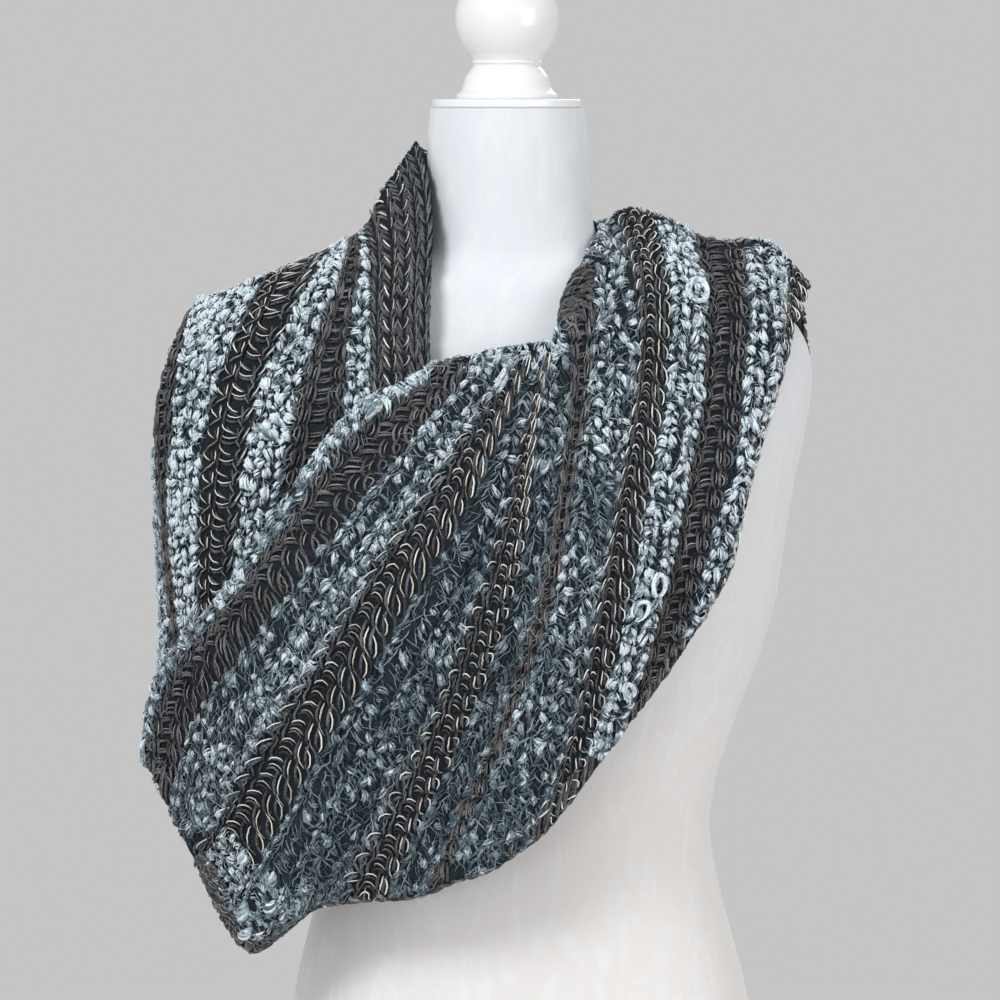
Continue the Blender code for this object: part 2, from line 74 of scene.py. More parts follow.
EYE_DISTANCE = 4000.0
EYE_HEIGHT = 727.0

# --- the dress form
TURN = math.radians(4)
LEAN = 11.0
NECK_TOP = 724.0
SHOULDER_SQUARENESS = 2.35
BUST_ACROSS = 84.0
BUST_HEIGHT = 446.0
BUST_SPREAD = 44.0
BUST_DEPTH = 15.0
PLATE_RADIUS = 49.7
PLATE_THICKNESS = 5.6
BALL_RADIUS = 34.4
BALL_CENTRE = 783.4

# --- the knitting
PERIOD = 14.7              # one ladder stitch along the band
LEFT_PERIOD = 14.0
STAND_PITCH = 13.0
LINE_PITCH = 26.0          # between neighbouring drawing lines where the cloth lies flat
TUFT_PITCH = 12.8          # pale tufts, along the band
WALE_PITCH = 6.2           # pale tufts, across it
GROUND_THICKNESS = 2.4
GROUND_STEPS = 2           # steps of the ground cloth for one of the solid's
REFINE = 3                 # steps of the fine surface for one of the solid's
ROW_REACH = 2.5            # rows and columns that one stitch may span
COLUMN_REACH = 1.3
EDGE_REACH = 0.45          # fine steps that a strand may stand past the cloth's edge
TIGHTEST = 1.3             # millimetres a column, below which a gather shows no stitches
STROKE_POINTS = 7          # points of one drawn stroke of thread, and of a thick one
THICK_POINTS = 5
THICK_STROKE = 0.8         # radius above which a stroke is a thick one
NEXT_STATION = 0.33        # share of the rows down to a stripe's second station
BUNDLE_TRIANGLES = 165000  # where a yarn's piece is full


def rows_of(kind: type, *rows: tuple) -> tuple:
    """Make one record of a kind from each row of a table."""
    return tuple(kind(*row) for row in rows)


# Level sections of the torso: height, half width, front depth and back depth.
TORSO_RINGS = (
    (0, 165, 94, 140), (50, 164, 96, 142), (100, 158, 95, 136), (150, 148, 93, 122),
    (200, 135, 90, 104), (245, 128, 88, 90), (280, 133, 91, 88), (320, 147, 98, 92),
    (360, 163, 107, 99), (400, 175, 117, 105), (440, 181, 121, 110), (480, 188, 113, 112),
    (515, 196, 101, 108), (545, 200, 88, 98), (568, 197, 77, 86), (585, 187, 70, 76),
    (598, 158, 65, 68), (610, 108, 61, 64), (621, 73, 57, 61), (632, 60, 55, 59),
    (648, 56, 54, 57), (672, 54, 53.5, 55.5), (700, 53.5, 54, 54), (NECK_TOP, 51, 53, 53),
)
# Turned foot below the ball: radius and height, from the plate up to the ball's throat.
FINIAL_FOOT = (
    (33.6, 730.2), (33.8, 732.6), (31, 735.4), (29.4, 738.6), (28.6, 741.6), (27.6, 744.8),
    (25.6, 747.6), (24.2, 749.6), (22.8, 751.2), (22.4, 752.8), (23.4, 754.2), (22.8, 755.6),
)
# How far each hanging layer stands from the neck axis: height, left, right and front.
OUTER_LAYER = (
    (700, 110, 120, 46), (640, 150, 190, 62), (615, 185, 214, 74), (590, 225, 216, 90),
    (560, 240, 214, 103), (520, 246, 211, 120), (480, 248, 205, 140), (440, 252, 208, 154),
    (400, 256, 208, 160), (350, 252, 202, 158), (300, 253, 190, 152), (250, 245, 170, 144),
    (200, 233, 158, 135), (150, 216, 146, 126),
)

INNER_LAYER = (
    (700, 100, 100, 44), (640, 120, 120, 54), (600, 200, 190, 74), (560, 231, 200, 90),
    (520, 236, 204, 105), (480, 234, 200, 119), (440, 230, 194, 132), (400, 229, 188, 138),
    (350, 236, 178, 138), (300, 254, 168, 131), (250, 250, 158, 127), (200, 236, 148, 124),
    (150, 216, 138, 115),
)


class FrontLine(NamedTuple):
    """One line down the front stretch, from behind its top to its hem.

    top is across, height and depth.  behind and before say how far the cloth runs back and
    forward from it, and drops there.  lift is how far it stands off the outer layer near the
    top, halfway and at the hem.  fall is across and height at six levels down to the hem.
    aside is how far the line sets off away from the neck.
    """

    top: tuple
    behind: tuple
    before: tuple
    lift: tuple
    fall: tuple
    aside: float = 0.0


FRONT_LINES = rows_of(
    FrontLine,
    ((-50, 553, -106), (7, 6), (4, 8), (2, 4, 1),
     ((-88, 530), (-118, 503), (-158, 443), (-195, 390), (-232, 345), (-244, 294))),
    ((-26, 558, -107), (8, 7), (5, 9), (0, 2, 2),
     ((-69, 517), (-110, 471), (-146, 430), (-180, 385), (-216, 332), (-230, 268))),
    ((-2, 563, -107), (8, 7), (5, 9), (1, 4, 3),
     ((-38, 515), (-72, 463), (-110, 410), (-146, 355), (-184, 298), (-214, 236))),
    ((15, 566, -104), (8, 7), (5, 9), (-3, 0, 0),
     ((-10, 520), (-38, 472), (-76, 419), (-112, 360), (-151, 291), (-203, 214))),
    ((24, 567, -102), (8, 7), (5, 9), (3, 5, 5),
     ((5, 513), (-18, 453), (-46, 397), (-77, 338), (-118, 270), (-172, 163))),
    ((28, 567, -100), (8, 7), (5, 9), (-3, -4, 1),
     ((13, 513), (-6, 455), (-28, 393), (-55, 328), (-91, 262), (-131, 191))),
    ((32, 568, -99), (7, 5), (5, 9), (1, 1, -2),
     ((20, 513), (9, 450), (-8, 387), (-34, 318), (-65, 252), (-93, 198))),
    ((35, 577, -97), (6, 2), (5, 9), (-4, -4, -3),
     ((36, 530), (27, 470), (17, 413), (-4, 343), (-37, 267), (-66, 200)), 2),
    ((41, 602, -78), (4, 1), (8, 10), (-1, 0, 0),
     ((49, 532), (40, 472), (30, 414), (10, 345), (-22, 267), (-50, 204)), 5),
    ((53, 622, -52), (5, 0), (9, 10), (1, 3, 2),
     ((61, 562), (55, 500), (46, 438), (29, 369), (0, 286), (-31, 212)), 7),
    ((60, 638, -20), (8, 1), (12, 10), (3, 6, 3),
     ((70, 580), (67, 515), (58, 450), (43, 381), (19, 297), (-11, 218)), 7),
    ((65, 647, 1), (13, 3), (20, 13), (3, 4, 2),
     ((81, 594), (79, 530), (69, 463), (56, 393), (37, 307), (8, 230)), 5),
    ((82, 657, 4), (20, 8), (24, 14), (1, 0, 0),
     ((95, 602), (93, 540), (81, 471), (68, 399), (52, 321), (28, 246))),
    ((110, 647, 4), (26, 11), (24, 14), (5, 5, 2),
     ((122, 597), (119, 537), (107, 468), (95, 403), (79, 345), (62, 290))),
    ((139, 635, 4), (26, 11), (24, 14), (-2, -2, 1),
     ((145, 590), (141, 530), (132, 473), (121, 423), (109, 377), (98, 338))),
    ((172, 634, 3), (26, 12), (22, 14), (4, 6, 5),
     ((173, 583), (166, 527), (157, 484), (147, 447), (138, 412), (129, 383))),
    ((199, 608, 2), (26, 12), (18, 14), (1, 4, 4),
     ((190, 580), (182, 550), (172, 518), (163, 485), (156, 452), (149, 418))),
)
FRONT_STEPS = (1, 2, 3, 5, 5, 5, 5, 5)
ACROSS_STEPS = 2
SEAM_LINE = 11

# Lines down the left stretch, places of across, height and depth.  A place with no depth
# lies on the inner layer.
LEFT_LINES = (
    ((-200, 470, 84), (-212, 450, 77), (-219, 430, 67), (-224, 408, 53), (-227, 386, 35),
     (-230, 361, 7), (-232, 338, -19)),
    ((-206, 520, 68), (-219, 505, 55), (-227, 478, 42), (-230, 440, 27), (-230, 405, 7),
     (-229, 372, -20), (-226, 332, -47)),
    ((-194, 566, 46), (-207, 590, 14), (-221, 566, -6), (-232, 522, -13), (-231, 460, -17),
     (-224, 385, -32), (-214, 305, -59)),
    ((-172, 592, 34), (-184, 602, 6), (-200, 570, -34), (-214, 530, -42), (-220, 465, -43),
     (-213, 380, -56), (-198, 284, -76)),
    ((-140, 611, 27), (-148, 617, 3), (-163, 585), (-177, 545), (-188, 480), (-194, 385),
     (-170, 258)),
    ((-115, 624, 23), (-114, 631, 1), (-126, 601), (-141, 560), (-155, 490), (-163, 400),
     (-138, 266)),
    ((-99, 635, 15), (-95, 641, -4), (-92, 613, -34), (-93, 576, -61), (-94, 520), (-102, 410),
     (-107, 268)),
    ((-83, 666, -1), (-80, 652, -18), (-77, 623, -42), (-79, 585, -68), (-78, 528), (-82, 415),
     (-82, 268)),
    ((-71, 685, -2), (-66, 668, -22), (-63, 632, -48), (-65, 592, -72), (-64, 535), (-60, 420),
     (-56, 268)),
    ((-59, 701, -3), (-53, 680, -27), (-50, 642, -52), (-52, 598, -75), (-51, 540), (-40, 425),
     (-32, 272)),
)
LEFT_STEPS = (2, 3, 3, 4, 5, 5, 5, 2)
LEFT_LEAD = 15.0

# Lines round the back, five places each from the left seam to the right one.
BACK_LINES = (
    ((-57, 696, 26), (-36, 686, 54), (0, 673, 66), (36, 660, 58), (56, 648, 42)),
    ((-70, 668, 34), (-44, 656, 63), (0, 645, 72), (44, 640, 65), (68, 640, 46)),
    ((-88, 634, 42), (-58, 622, 68), (0, 612, 77), (56, 622, 68), (88, 632, 46)),
    ((-130, 606, 54), (-84, 584, 84), (0, 572, 98), (84, 590, 80), (128, 614, 52)),
    ((-170, 572, 62), (-104, 548, 90), (0, 530, 106), (104, 556, 88), (162, 596, 54)),
    ((-192, 524, 74), (-116, 496, 106), (0, 482, 121), (116, 516, 104), (182, 578, 60)),
    ((-190, 458, 78), (-112, 438, 98), (0, 428, 114), (116, 462, 98), (186, 534, 62)),
)
BACK_STEPS = (3, 4, 4, 4, 4, 3)
BACK_CORNER = (200, 560, 34)


# --- how the band is striped

class Knit(Enum):
    """How a stripe of the band is worked."""

    TUFTED = "pale slub tufts over navy yarn"
    IVORY = "ladder of ivory thread"
    LEFT_IVORY = "the same ladder as it hangs at the left"
    BROWN = "ladder of brown thread"
    STAND_BROWN = "plain stitches with a brown thread"
    STAND_IVORY = "plain stitches with an ivory thread on both legs"
    STAND_HOOK = "plain stitches with an ivory thread on the right leg"
    STAND_DARK = "plain stitches of charcoal yarn"


class Stripe(NamedTuple):
    """One stripe: its left and right border lines at the top, below it and at the foot.

    light is how much paler than usual it is at those three places.  Where it falls towards the
    foot, as on most front stripes, that darkening is partly painted shade and partly the yarn's own
    duller tone.
    """

    knit: Knit
    left: Array
    right: Array
    light: Array


def striped(*rows: tuple) -> list[Stripe]:
    """Chain stripes, each from where the last one ends.

    Args:
        rows: Each one's knit, right border, and perhaps light and a left border of its own.
            One number stands for all three places.

    Returns:
        The stripes.
    """
    stripes = []
    for knit, right, *more in rows:
        light = more[0] if more else 0
        left = more[1] if len(more) > 1 else stripes[-1].right
        stripes.append(Stripe(knit, *(np.broadcast_to(part, 3) for part in (left, right, light))))
    return stripes


# The tufted stripes of the front darken towards the hem: partly painted shade, partly the yarn's
# own duller tone.
FRONT_STRIPES = striped(
    (Knit.TUFTED, 0, (0.16, 0.14, 0.1), -1.5),
    (Knit.TUFTED, (0.34, 0.36, 0.3), (0.16, 0.12, 0.06)), (Knit.BROWN, (1.5, 1.45, 1.25)),
    (Knit.TUFTED, (2.5, 2.5, 2.4), (0.08, -0.03, -0.12)), (Knit.IVORY, (3.5, 3.55, 3.5)),
    (Knit.TUFTED, (4.45, 5.25, 5.4), (0.02, -0.18, -0.32)), (Knit.IVORY, (5.55, 6.35, 6.45)),
    (Knit.TUFTED, (7.3, 7.6, 7.6), (0.04, -0.22, -0.38)), (Knit.BROWN, (8.75, 8.4, 8.3)),
    (Knit.TUFTED, (11.45, 11.4, 11.25), (0.16, -0.02, -0.2)), (Knit.IVORY, 12.5),
    (Knit.TUFTED, (13.4, 13.4, 13.45), (0.28, 0.24, 0.14)), (Knit.BROWN, (14.55, 14.5, 14.4)),
    (Knit.TUFTED, (15.45, 15.8, 15.9), (0.3, 0.28, 0.2)), (Knit.IVORY, 16),
)

LEFT_STRIPES = striped(
    (Knit.TUFTED, (1.35, 1.98, 1.6), (0.2, 0.2, 0.1), 0), (Knit.BROWN, (2, 2.88, 2.4)),
    (Knit.TUFTED, (3.82, 3.55, 3.56), (0.42, 0.42, 0.18)), (Knit.LEFT_IVORY, (5, 4.48, 4.5)),
    (Knit.TUFTED, (5.5, 5.22, 5), (0.42, 0.36, 0.16)), (Knit.BROWN, (5.85, 5.72, 5.6)),
    (Knit.TUFTED, (6.12, 6.1, 6.05), (0.38, 0.32, 0.16)),
    (Knit.STAND_BROWN, (6.72, 6.72, 6.7), 0, (6.15, 6.15, 6.1)),
    (Knit.STAND_IVORY, (7.42, 7.42, 7.4)), (Knit.STAND_HOOK, (8.02, 8.02, 8)),
    (Knit.STAND_DARK, (8.46, 8.46, 8.44)), (Knit.STAND_DARK, 9, 0, (8.5, 8.5, 8.48)),
)

BACK_STRIPES = striped(
    (Knit.TUFTED, 0.5, 0, 0), (Knit.IVORY, 1.5), (Knit.TUFTED, 2.45), (Knit.BROWN, 3.55),
    (Knit.TUFTED, 4.5), (Knit.IVORY, 5.5), (Knit.TUFTED, 6.5), (Knit.BROWN, 7.5),
    (Knit.TUFTED, 9),
)


class Crease(NamedTuple):
    """A soft trough or ridge along the band: start and end as line and row, and its size.

    depth is positive for a ridge.  spread is the half width in drawing lines.
    """

    start: tuple[float, float]
    end: tuple[float, float]
    depth: float
    spread: float


FRONT_CREASES = rows_of(
    Crease,
    ((3.5, 4), (3.4, 17), -3.2, 0.35), ((4.6, 5), (4.5, 28), -2.4, 0.4),
    ((2, 6), (1.9, 30), 1.8, 0.5), ((6.7, 8), (6.8, 24), 1.6, 0.45),
    ((7.9, 8), (7.9, 31), -2.6, 0.4), ((9.3, 12), (9.2, 30), 1.4, 0.55),
    ((10.3, 4), (10.4, 22), -1.6, 0.4), ((13.9, 7), (13.9, 26), -1.5, 0.45),
    ((5.1, 22), (5.2, 31), -2, 0.35),
)
LEFT_CREASES = rows_of(
    Crease,
    ((2.9, 5), (3, 20), 1.6, 0.45), ((4.9, 3), (5, 16), 1.2, 0.35),
    ((2, 8), (1.9, 24), -1.5, 0.45), ((6.05, 4), (6.05, 16), -2.2, 0.3),
)
BACK_CREASES = rows_of(
    Crease,
    ((3.1, 2), (2.9, 12), -1.8, 0.5), ((5.2, 6), (5, 20), -2, 0.45),
    ((7.4, 3), (7.6, 15), 1.7, 0.5), ((6.2, 12), (6.6, 21), -1.4, 0.4),
)


class Patch(NamedTuple):
    """A place, from and to in lines and rows, that fluff covers or whose dark reverse shows.

    lengthwise says that the reverse's bars run along the band, as they do where it is turned
    out.  overlap is how many rows the ladders run on into it.
    """

    lines: tuple[float, float]
    rows: tuple[float, float]
    lengthwise: bool = False
    overlap: float = 0.0


FRONT_REVERSES = rows_of(
    Patch,
    ((2.55, 4.25), (30.45, 36)), ((4.25, 7.4), (31.2, 36), False, 1.8),
    ((7.4, 10.6), (31.7, 36), False, 1.3), ((10.6, 16), (31.15, 36), False, 1.8),
    ((7.35, 8.8), (0.2, 3.2)),
)
FRONT_FLUFFS = rows_of(
    Patch,
    ((1.2, 7.1), (0.6, 3.4)), ((8.9, 11.2), (0.0, 1.6)), ((-1.3, 0.2), (2.0, 27.0)),
    ((2.9, 4.9), (29.2, 30.6)),
)
BACK_REVERSES = (Patch((5.5, 9.0), (19.2, 22.0), True),)


class Nub(NamedTuple):
    """A stray lump or loop of slub: place in the front drawing, length, girth and lean."""

    across: float
    height: float
    length: float
    girth: float
    lean: float
    ring: bool = False


LEFT_NUBS = rows_of(
    Nub,
    (-164, 512, 13, 3.2, 78), (-160, 503, 12, 4, 84), (-152, 511, 9, 2.4, 55),
    (-205, 553, 9, 4, 20), (-196, 560, 8, 3.4, 50),
)
FRONT_NUBS = rows_of(
    Nub,
    (-88, 524, 9, 4.2, 30), (-67, 463, 9, 3.6, 20), (-49, 511, 10, 2.6, 70),
    (23, 485, 10, 3.4, 10), (-92, 526, 13, 4.6, 40), (125, 600, 20, 2, -15, True),
    (125, 536, 10, 1.7, 40, True), (83, 562, 12, 3, 60), (77, 540, 13, 3.2, 30),
    (63, 495, 11, 3, 80), (109, 472, 11, 2.8, 20), (89, 390, 13, 1.5, -20, True),
    (80, 335, 10, 1.6, 40, True), (101, 407, 14, 1.6, 10, True), (-180, 187, 15, 4.4, 12),
    (-171, 175, 12, 3.8, -30), (-157, 190, 12, 3.8, -20), (-175, 219, 9, 3.8, 20),
    (-159, 210, 11, 3.2, 15),
)


class Tuft(NamedTuple):
    """A kind of tuft: sizes in millimetres, locks and their share of the girth, and chances."""

    offset: float
    length: tuple[float, float]
    girth: tuple[float, float]
    locks: int
    lock: float
    chance: float
    light: float
    hairs: float


TUFTS = rows_of(
    Tuft,
    (0.25, (6.8, 11.0), (1.4, 2.6), 6, 0.40, 0.90, 0.07, 0.9),
    (0.75, (4.4, 7.8), (1.0, 1.9), 3, 0.50, 0.80, -0.12, 0.5),
)
TUFT_STEPS = np.array([-0.5, -0.2, 0.2, 0.5])
TUFT_BELLY = np.array([0.35, 1.0, 0.92, 0.45])
PALE_GIRTH = 0.7           # how much thicker the palest tufts are
CROSSWISE_SHARE = 0.12     # tufts that lie across the others
FLUFF = Tuft(0.0, (4.8, 8.2), (1.1, 2.2), 4, 0.42, 1.0, 0.0, 0.8)
FLUFF_STEPS = (0.15, 0.2)
FLUFF_ROOM = 24.0          # square millimetres for one tuft

BAR_PITCH = 3.3
BAR_LENGTH = 9.0
BAR_POINTS = 60            # points at which the lines of the bars are measured
# Each strand's yarn, radius, lightness and height: in a turned-under fold, and turned out.
REVERSE_STRANDS = (
    (("charcoal", 1.35, 0.50, 1.5), ("navy", 1.1, 0.45, 0.9), ("brown", 0.45, 0.5, 2.9)),
    (("brown", 1.2, 0.42, 1.2), ("charcoal", 1.3, 0.85, 0.7), ("brown", 0.42, 0.80, 2.2)),
)


class Stroke(NamedTuple):
    """One stroke of a stitch: its yarn, and in hundredths its radius and lightness.

    Its points lie aside in hundredths of the stripe's width, along in hundredths of the
    pitch, and high in tenths of a millimetre.  The yarn "thread" is the stripe's own.
    """

    yarn: str
    radius: float
    shade: float
    aside: tuple
    along: tuple
    high: tuple
    chance: float = 1.0


# The chain down the right side of a ladder, and the charcoal loops that carry it.
CHAIN = rows_of(
    Stroke,
    ("thread", 50, 84, (37, 45.5, 45.5, 40), (-32, -6, 24, 50), (17, 30, 29, 15)),
    ("thread", 48, 84, (29, 26.2, 24.5, 23.5), (-46, -20, 2, 26), (15, 28, 29, 16)),
    ("thread", 42, 28, (23.5, 23.5, 27, 33), (22, 36, 48, 62), (13, 20, 20, 12)),
    ("charcoal", 115, 55, (42, 37, 35, 37), (-56, -20, 10, 46), (5, 16, 16, 6)),
    ("charcoal", 100, 48, (23, 18, 16, 22), (-56, -20, 15, 50), (5, 13, 14, 6)),
    ("navy", 120, 45, (46, 56, 57, 48), (50, 18, -16, -48), (5, 14, 14, 5)),
)
# The open part of the ivory ladder: an arc at the left, two in the middle, threads between.
LADDER = CHAIN + rows_of(
    Stroke,
    ("thread", 47, 76, (-7, -2, 7, 16.5), (-32, -45, -47, -30), (11, 24, 25, 14)),
    ("thread", 42, 50, (-10, -3, 6, 12.5), (4, -7, 0, 24), (9, 19, 21, 10)),
    ("thread", 48, 80, (-48.5, -46, -36, -20), (4, -20, -40, -46), (14, 27, 28, 13)),
    ("brown", 36, 45, (-14, -12, -15, -20), (-70, -44, -22, 0), (9, 17, 17, 9), 0.85),
    ("thread", 34, 16, (-40, -33, -28, -27), (34, 18, 0, -20), (9, 17, 17, 9), 0.8),
    ("charcoal", 95, 45, (-10, -4, 5, 14), (-16, -28, -30, -12), (2, 11, 14, 7)),
    ("charcoal", 85, 38, (-13, -5, 3, 10), (24, 12, 16, 42), (2, 10, 12, 5)),
    ("navy", 130, 62, (-42, -38, -30, -20), (10, -10, -24, -30), (5, 15, 16, 6)),
    ("charcoal", 110, 52, (-50, -56, -54, -44), (52, 20, -14, -44), (5, 14, 14, 5)),
    ("charcoal", 100, 50, (-36, -34, -36, -40), (62, 36, 10, -12), (5, 13, 13, 4)),
    ("charcoal", 100, 46, (-16, -22, -21, -14), (62, 36, 6, -22), (4, 13, 14, 4)),
)
# The ladder as it hangs at the left: its chain on the left, closing at the foot, and rungs
# that fall away from it.
LEFT_LADDER = rows_of(
    Stroke,
    ("thread", 46, 80, (-44, -40, -36, -30), (-16, 0, 11, 26), (18, 28, 30, 17)),
    ("thread", 46, 80, (-25, -22.5, -22.5, -24), (-27, -8, 10, 28), (17, 29, 29, 16)),
    ("thread", 44, 26, (-23, -28, -36, -43), (26, 42, 55, 72), (15, 23, 23, 14)),
    ("thread", 45, 78, (-18.5, -13, -4, 8), (-48, -27, -12, -7), (12, 24, 26, 15)),
    ("thread", 45, 74, (-14.5, -7, 4, 18), (10, 21, 23, 10), (12, 23, 25, 15)),
    ("thread", 46, 84, (30, 37, 41.5, 44), (8, -8, -26, -56), (15, 27, 28, 16)),
    ("charcoal", 60, 85, (20, 23, 26, 30), (10, -8, -22, -42), (12, 22, 22, 12)),
    ("charcoal", 55, 90, (14, 19, 24, 27), (20, 34, 44, 58), (12, 22, 22, 12)),
    ("charcoal", 115, 50, (-50, -53, -51, -43), (60, 25, -10, -42), (5, 15, 15, 5)),
    ("charcoal", 90, 40, (-33, -31, -29, -28), (-30, -10, 8, 24), (3, 12, 12, 3)),
    ("charcoal", 95, 42, (-14, -17, -18, -16), (-30, 0, 30, 60), (3, 13, 13, 3)),
    ("charcoal", 95, 50, (-13, -8, 2, 14), (-34, -18, -5, 0), (2, 11, 12, 3)),
    ("charcoal", 100, 54, (-13, -6, 4, 17), (24, 36, 39, 27), (2, 11, 13, 4)),
    ("charcoal", 105, 46, (15, 20, 22, 19), (-36, -10, 16, 44), (3, 11, 11, 3)),
    ("navy", 115, 60, (24, 33, 38, 39), (36, 16, -10, -40), (4, 14, 15, 5)),
    ("charcoal", 110, 50, (40, 50, 53, 52), (40, 16, -14, -44), (4, 13, 13, 4)),
)
# The brown ladder has a chain on either side and two plain rungs between them.
BROWN_LADDER = rows_of(
    Stroke,
    ("thread", 44, 66, (36, 44, 44, 38), (-30, -8, 14, 34), (16, 26, 26, 15)),
    ("thread", 42, 66, (29, 26, 24.5, 23.5), (-38, -16, 2, 20), (15, 26, 26, 16)),
    ("thread", 38, 30, (23.5, 25, 31), (26, 42, 56), (13, 20, 12), 0.8),
    ("thread", 42, 52, (-35, -45, -46, -40), (-28, -10, 10, 28), (16, 26, 26, 15), 0.9),
    ("thread", 40, 50, (-30, -25, -26, -33), (-34, -10, 10, 28), (16, 25, 25, 15), 0.9),
    ("thread", 38, 28, (-40, -35, -29), (32, 46, 62), (13, 20, 12), 0.8),
    ("thread", 42, 62, (-17, -11, 0, 13), (14, 1, -4, -4), (9, 20, 22, 12)),
    ("thread", 40, 52, (-16, -11, 0, 12), (-34, -46, -52, -51), (9, 19, 21, 11), 0.9),
    ("charcoal", 105, 66, (-19, -12, 0, 16), (28, 15, 10, 10), (3, 13, 16, 6)),
    ("charcoal", 105, 60, (-19, -12, 0, 16), (-22, -33, -38, -38), (3, 13, 16, 6)),
    ("charcoal", 120, 66, (-44, -37, -37, -44), (-50, -16, 12, 50), (5, 16, 16, 5)),
    ("charcoal", 120, 60, (-50, -58, -57, -46), (30, 5, -25, -55), (5, 13, 13, 5)),
    ("charcoal", 105, 55, (-22, -17, -18, -25), (-50, -20, 12, 46), (4, 14, 14, 4)),
    ("charcoal", 120, 66, (42, 36, 34, 37), (-56, -20, 10, 46), (5, 16, 16, 6)),
    ("charcoal", 110, 58, (23, 17, 16, 22), (-56, -20, 15, 50), (5, 14, 14, 6)),
    ("charcoal", 120, 62, (46, 56, 57, 48), (50, 18, -16, -48), (5, 14, 14, 5)),
)


def plain_stitch(left: tuple, right: tuple, hooked: bool = False) -> tuple[Stroke, ...]:
    """Draw a plain stitch: two legs that close at the foot, and charcoal yarn behind them.

    Args:
        left: The left leg's yarn, radius and lightness.
        right: The right leg's.
        hooked: Whether the right leg bends back to the left, as a loose loop does.

    Returns:
        The stitch's strokes.
    """
    bend = ((24, 46, 34, -6), (-34, -18, 6, 26), (16, 30, 31, 17))
    if not hooked:
        bend = ((26, 40, 36, 22), (-40, -16, 10, 32), (14, 28, 28, 15))
    rows = [(*left, (-42, -27, -12, 0), (-42, -14, 12, 34), (13, 28, 29, 15)), (*right, *bend)]
    for shift, shade in ((0, 70), (50, 50)):
        along = tuple(part + shift for part in (-34, -2, 28, 56))
        for aside in ((-62, -46, -24, -4), (60, 52, 34, 8)):
            rows.append(("charcoal", 120, shade, aside, along, (4, 15, 17, 6)))
    return rows_of(
        Stroke, *rows,
        ("brown", 36, 42, (-32, -20, -6, 0), (-5, 20, 42, 60), (14, 23, 23, 12)),
        ("brown", 34, 38, (34, 36, 26, 14), (10, 30, 55, 75), (14, 23, 23, 12)),
        ("brown", 30, 34, (-55, -46, -38, -30), (-30, -10, 10, 34), (12, 21, 21, 12), 0.8))


# Each knit's strokes, the yarn that they call thread, and its pitch.
KNIT_STROKES = {
    Knit.IVORY: (LADDER, "ivory", PERIOD),
    Knit.LEFT_IVORY: (LEFT_LADDER, "ivory", LEFT_PERIOD),
    Knit.BROWN: (BROWN_LADDER, "brown", PERIOD),
}
KNIT_STROKES.update({
    knit: (plain_stitch(*legs), thread, STAND_PITCH) for knit, thread, legs in (
        (Knit.STAND_BROWN, "brown", (("brown", 60, 60), ("brown", 55, 50))),
        (Knit.STAND_IVORY, "ivory", (("ivory", 66, 86), ("ivory", 55, 42))),
        (Knit.STAND_HOOK, "ivory", (("charcoal", 62, 92), ("ivory", 60, 64), True)),
        (Knit.STAND_DARK, "brown", (("charcoal", 60, 90), ("charcoal", 60, 85))))})


# --- curves

def on_curve(points: Sequence[Vector], count: float) -> Vector:
    """Find a point on the smooth curve through points.

    Args:
        points: The points.
        count: How many of them along, 1.5 halfway from the second to the third.

    Returns:
        The point.
    """
    first = min(int(count), len(points) - 2)
    part = count - first
    start, end = points[first], points[first + 1]
    before = points[first - 1] if first > 0 else 2 * start - end
    after = points[first + 2] if first + 2 < len(points) else 2 * end - start
    span = max((end - start).length, 1e-6)
    lead = (end - before) * (span / (span + (start - before).length))
    trail = (after - start) * (span / (span + (after - end).length))
    square, cube = part * part, part ** 3
    return (start * (2 * cube - 3 * square + 1) + lead * (cube - 2 * square + part)
            + end * (3 * square - 2 * cube) + trail * (cube - square))


def counts_through(steps: Sequence[int]) -> list[float]:
    """Split each stretch between two places into steps, and return their curve counts."""
    counts = [at + step / number for at, number in enumerate(steps) for step in range(number)]
    return counts + [float(len(steps))]


def smoothed(drawing: Sequence[tuple], count: int) -> Array:
    """Draw a smooth stroke through a few points.

    Args:
        drawing: The few points.
        count: How many to draw.

    Returns:
        Points by 3.
    """
    points = [Vector(point) for point in drawing]
    last = len(points) - 1
    return np.array([on_curve(points, last * step / (count - 1)) for step in range(count)])


def sighted(across: float, height: float, depth: float) -> Vector:
    """Slide a place of the front drawing along its line of sight to a depth along Y."""
    scale = 1 + depth / EYE_DISTANCE
    return Vector((across * scale, depth, EYE_HEIGHT + (height - EYE_HEIGHT) * scale))


def layer_depth(layer: tuple, across: float, height: float, lift: float = 0.0) -> float:
    """Find how far in front a hanging layer lies.

    Args:
        layer: Its table, from the top down.
        across: Place in the front drawing.
        height: Height in it.
        lift: How far outside the layer.

    Returns:
        The place along Y, negative in front.
    """
    heights, left, right, front = np.array(layer)[::-1].T
    side = np.interp(height, heights, right if across > 0 else left)
    share = min(abs(across) / (side + lift), 1.0)
    return -(np.interp(height, heights, front) + lift) * math.sqrt(1 - share * share)


def unit(vectors: Array) -> Array:
    """Scale vectors on the last axis to a length of one."""
    return vectors / np.maximum(np.linalg.norm(vectors, axis=-1, keepdims=True), 1e-9)


def run_along(line: Array) -> Array:
    """Measure how far along a line each of its points lies."""
    return np.concatenate([[0], np.cumsum(np.linalg.norm(np.diff(line, axis=0), axis=-1))])


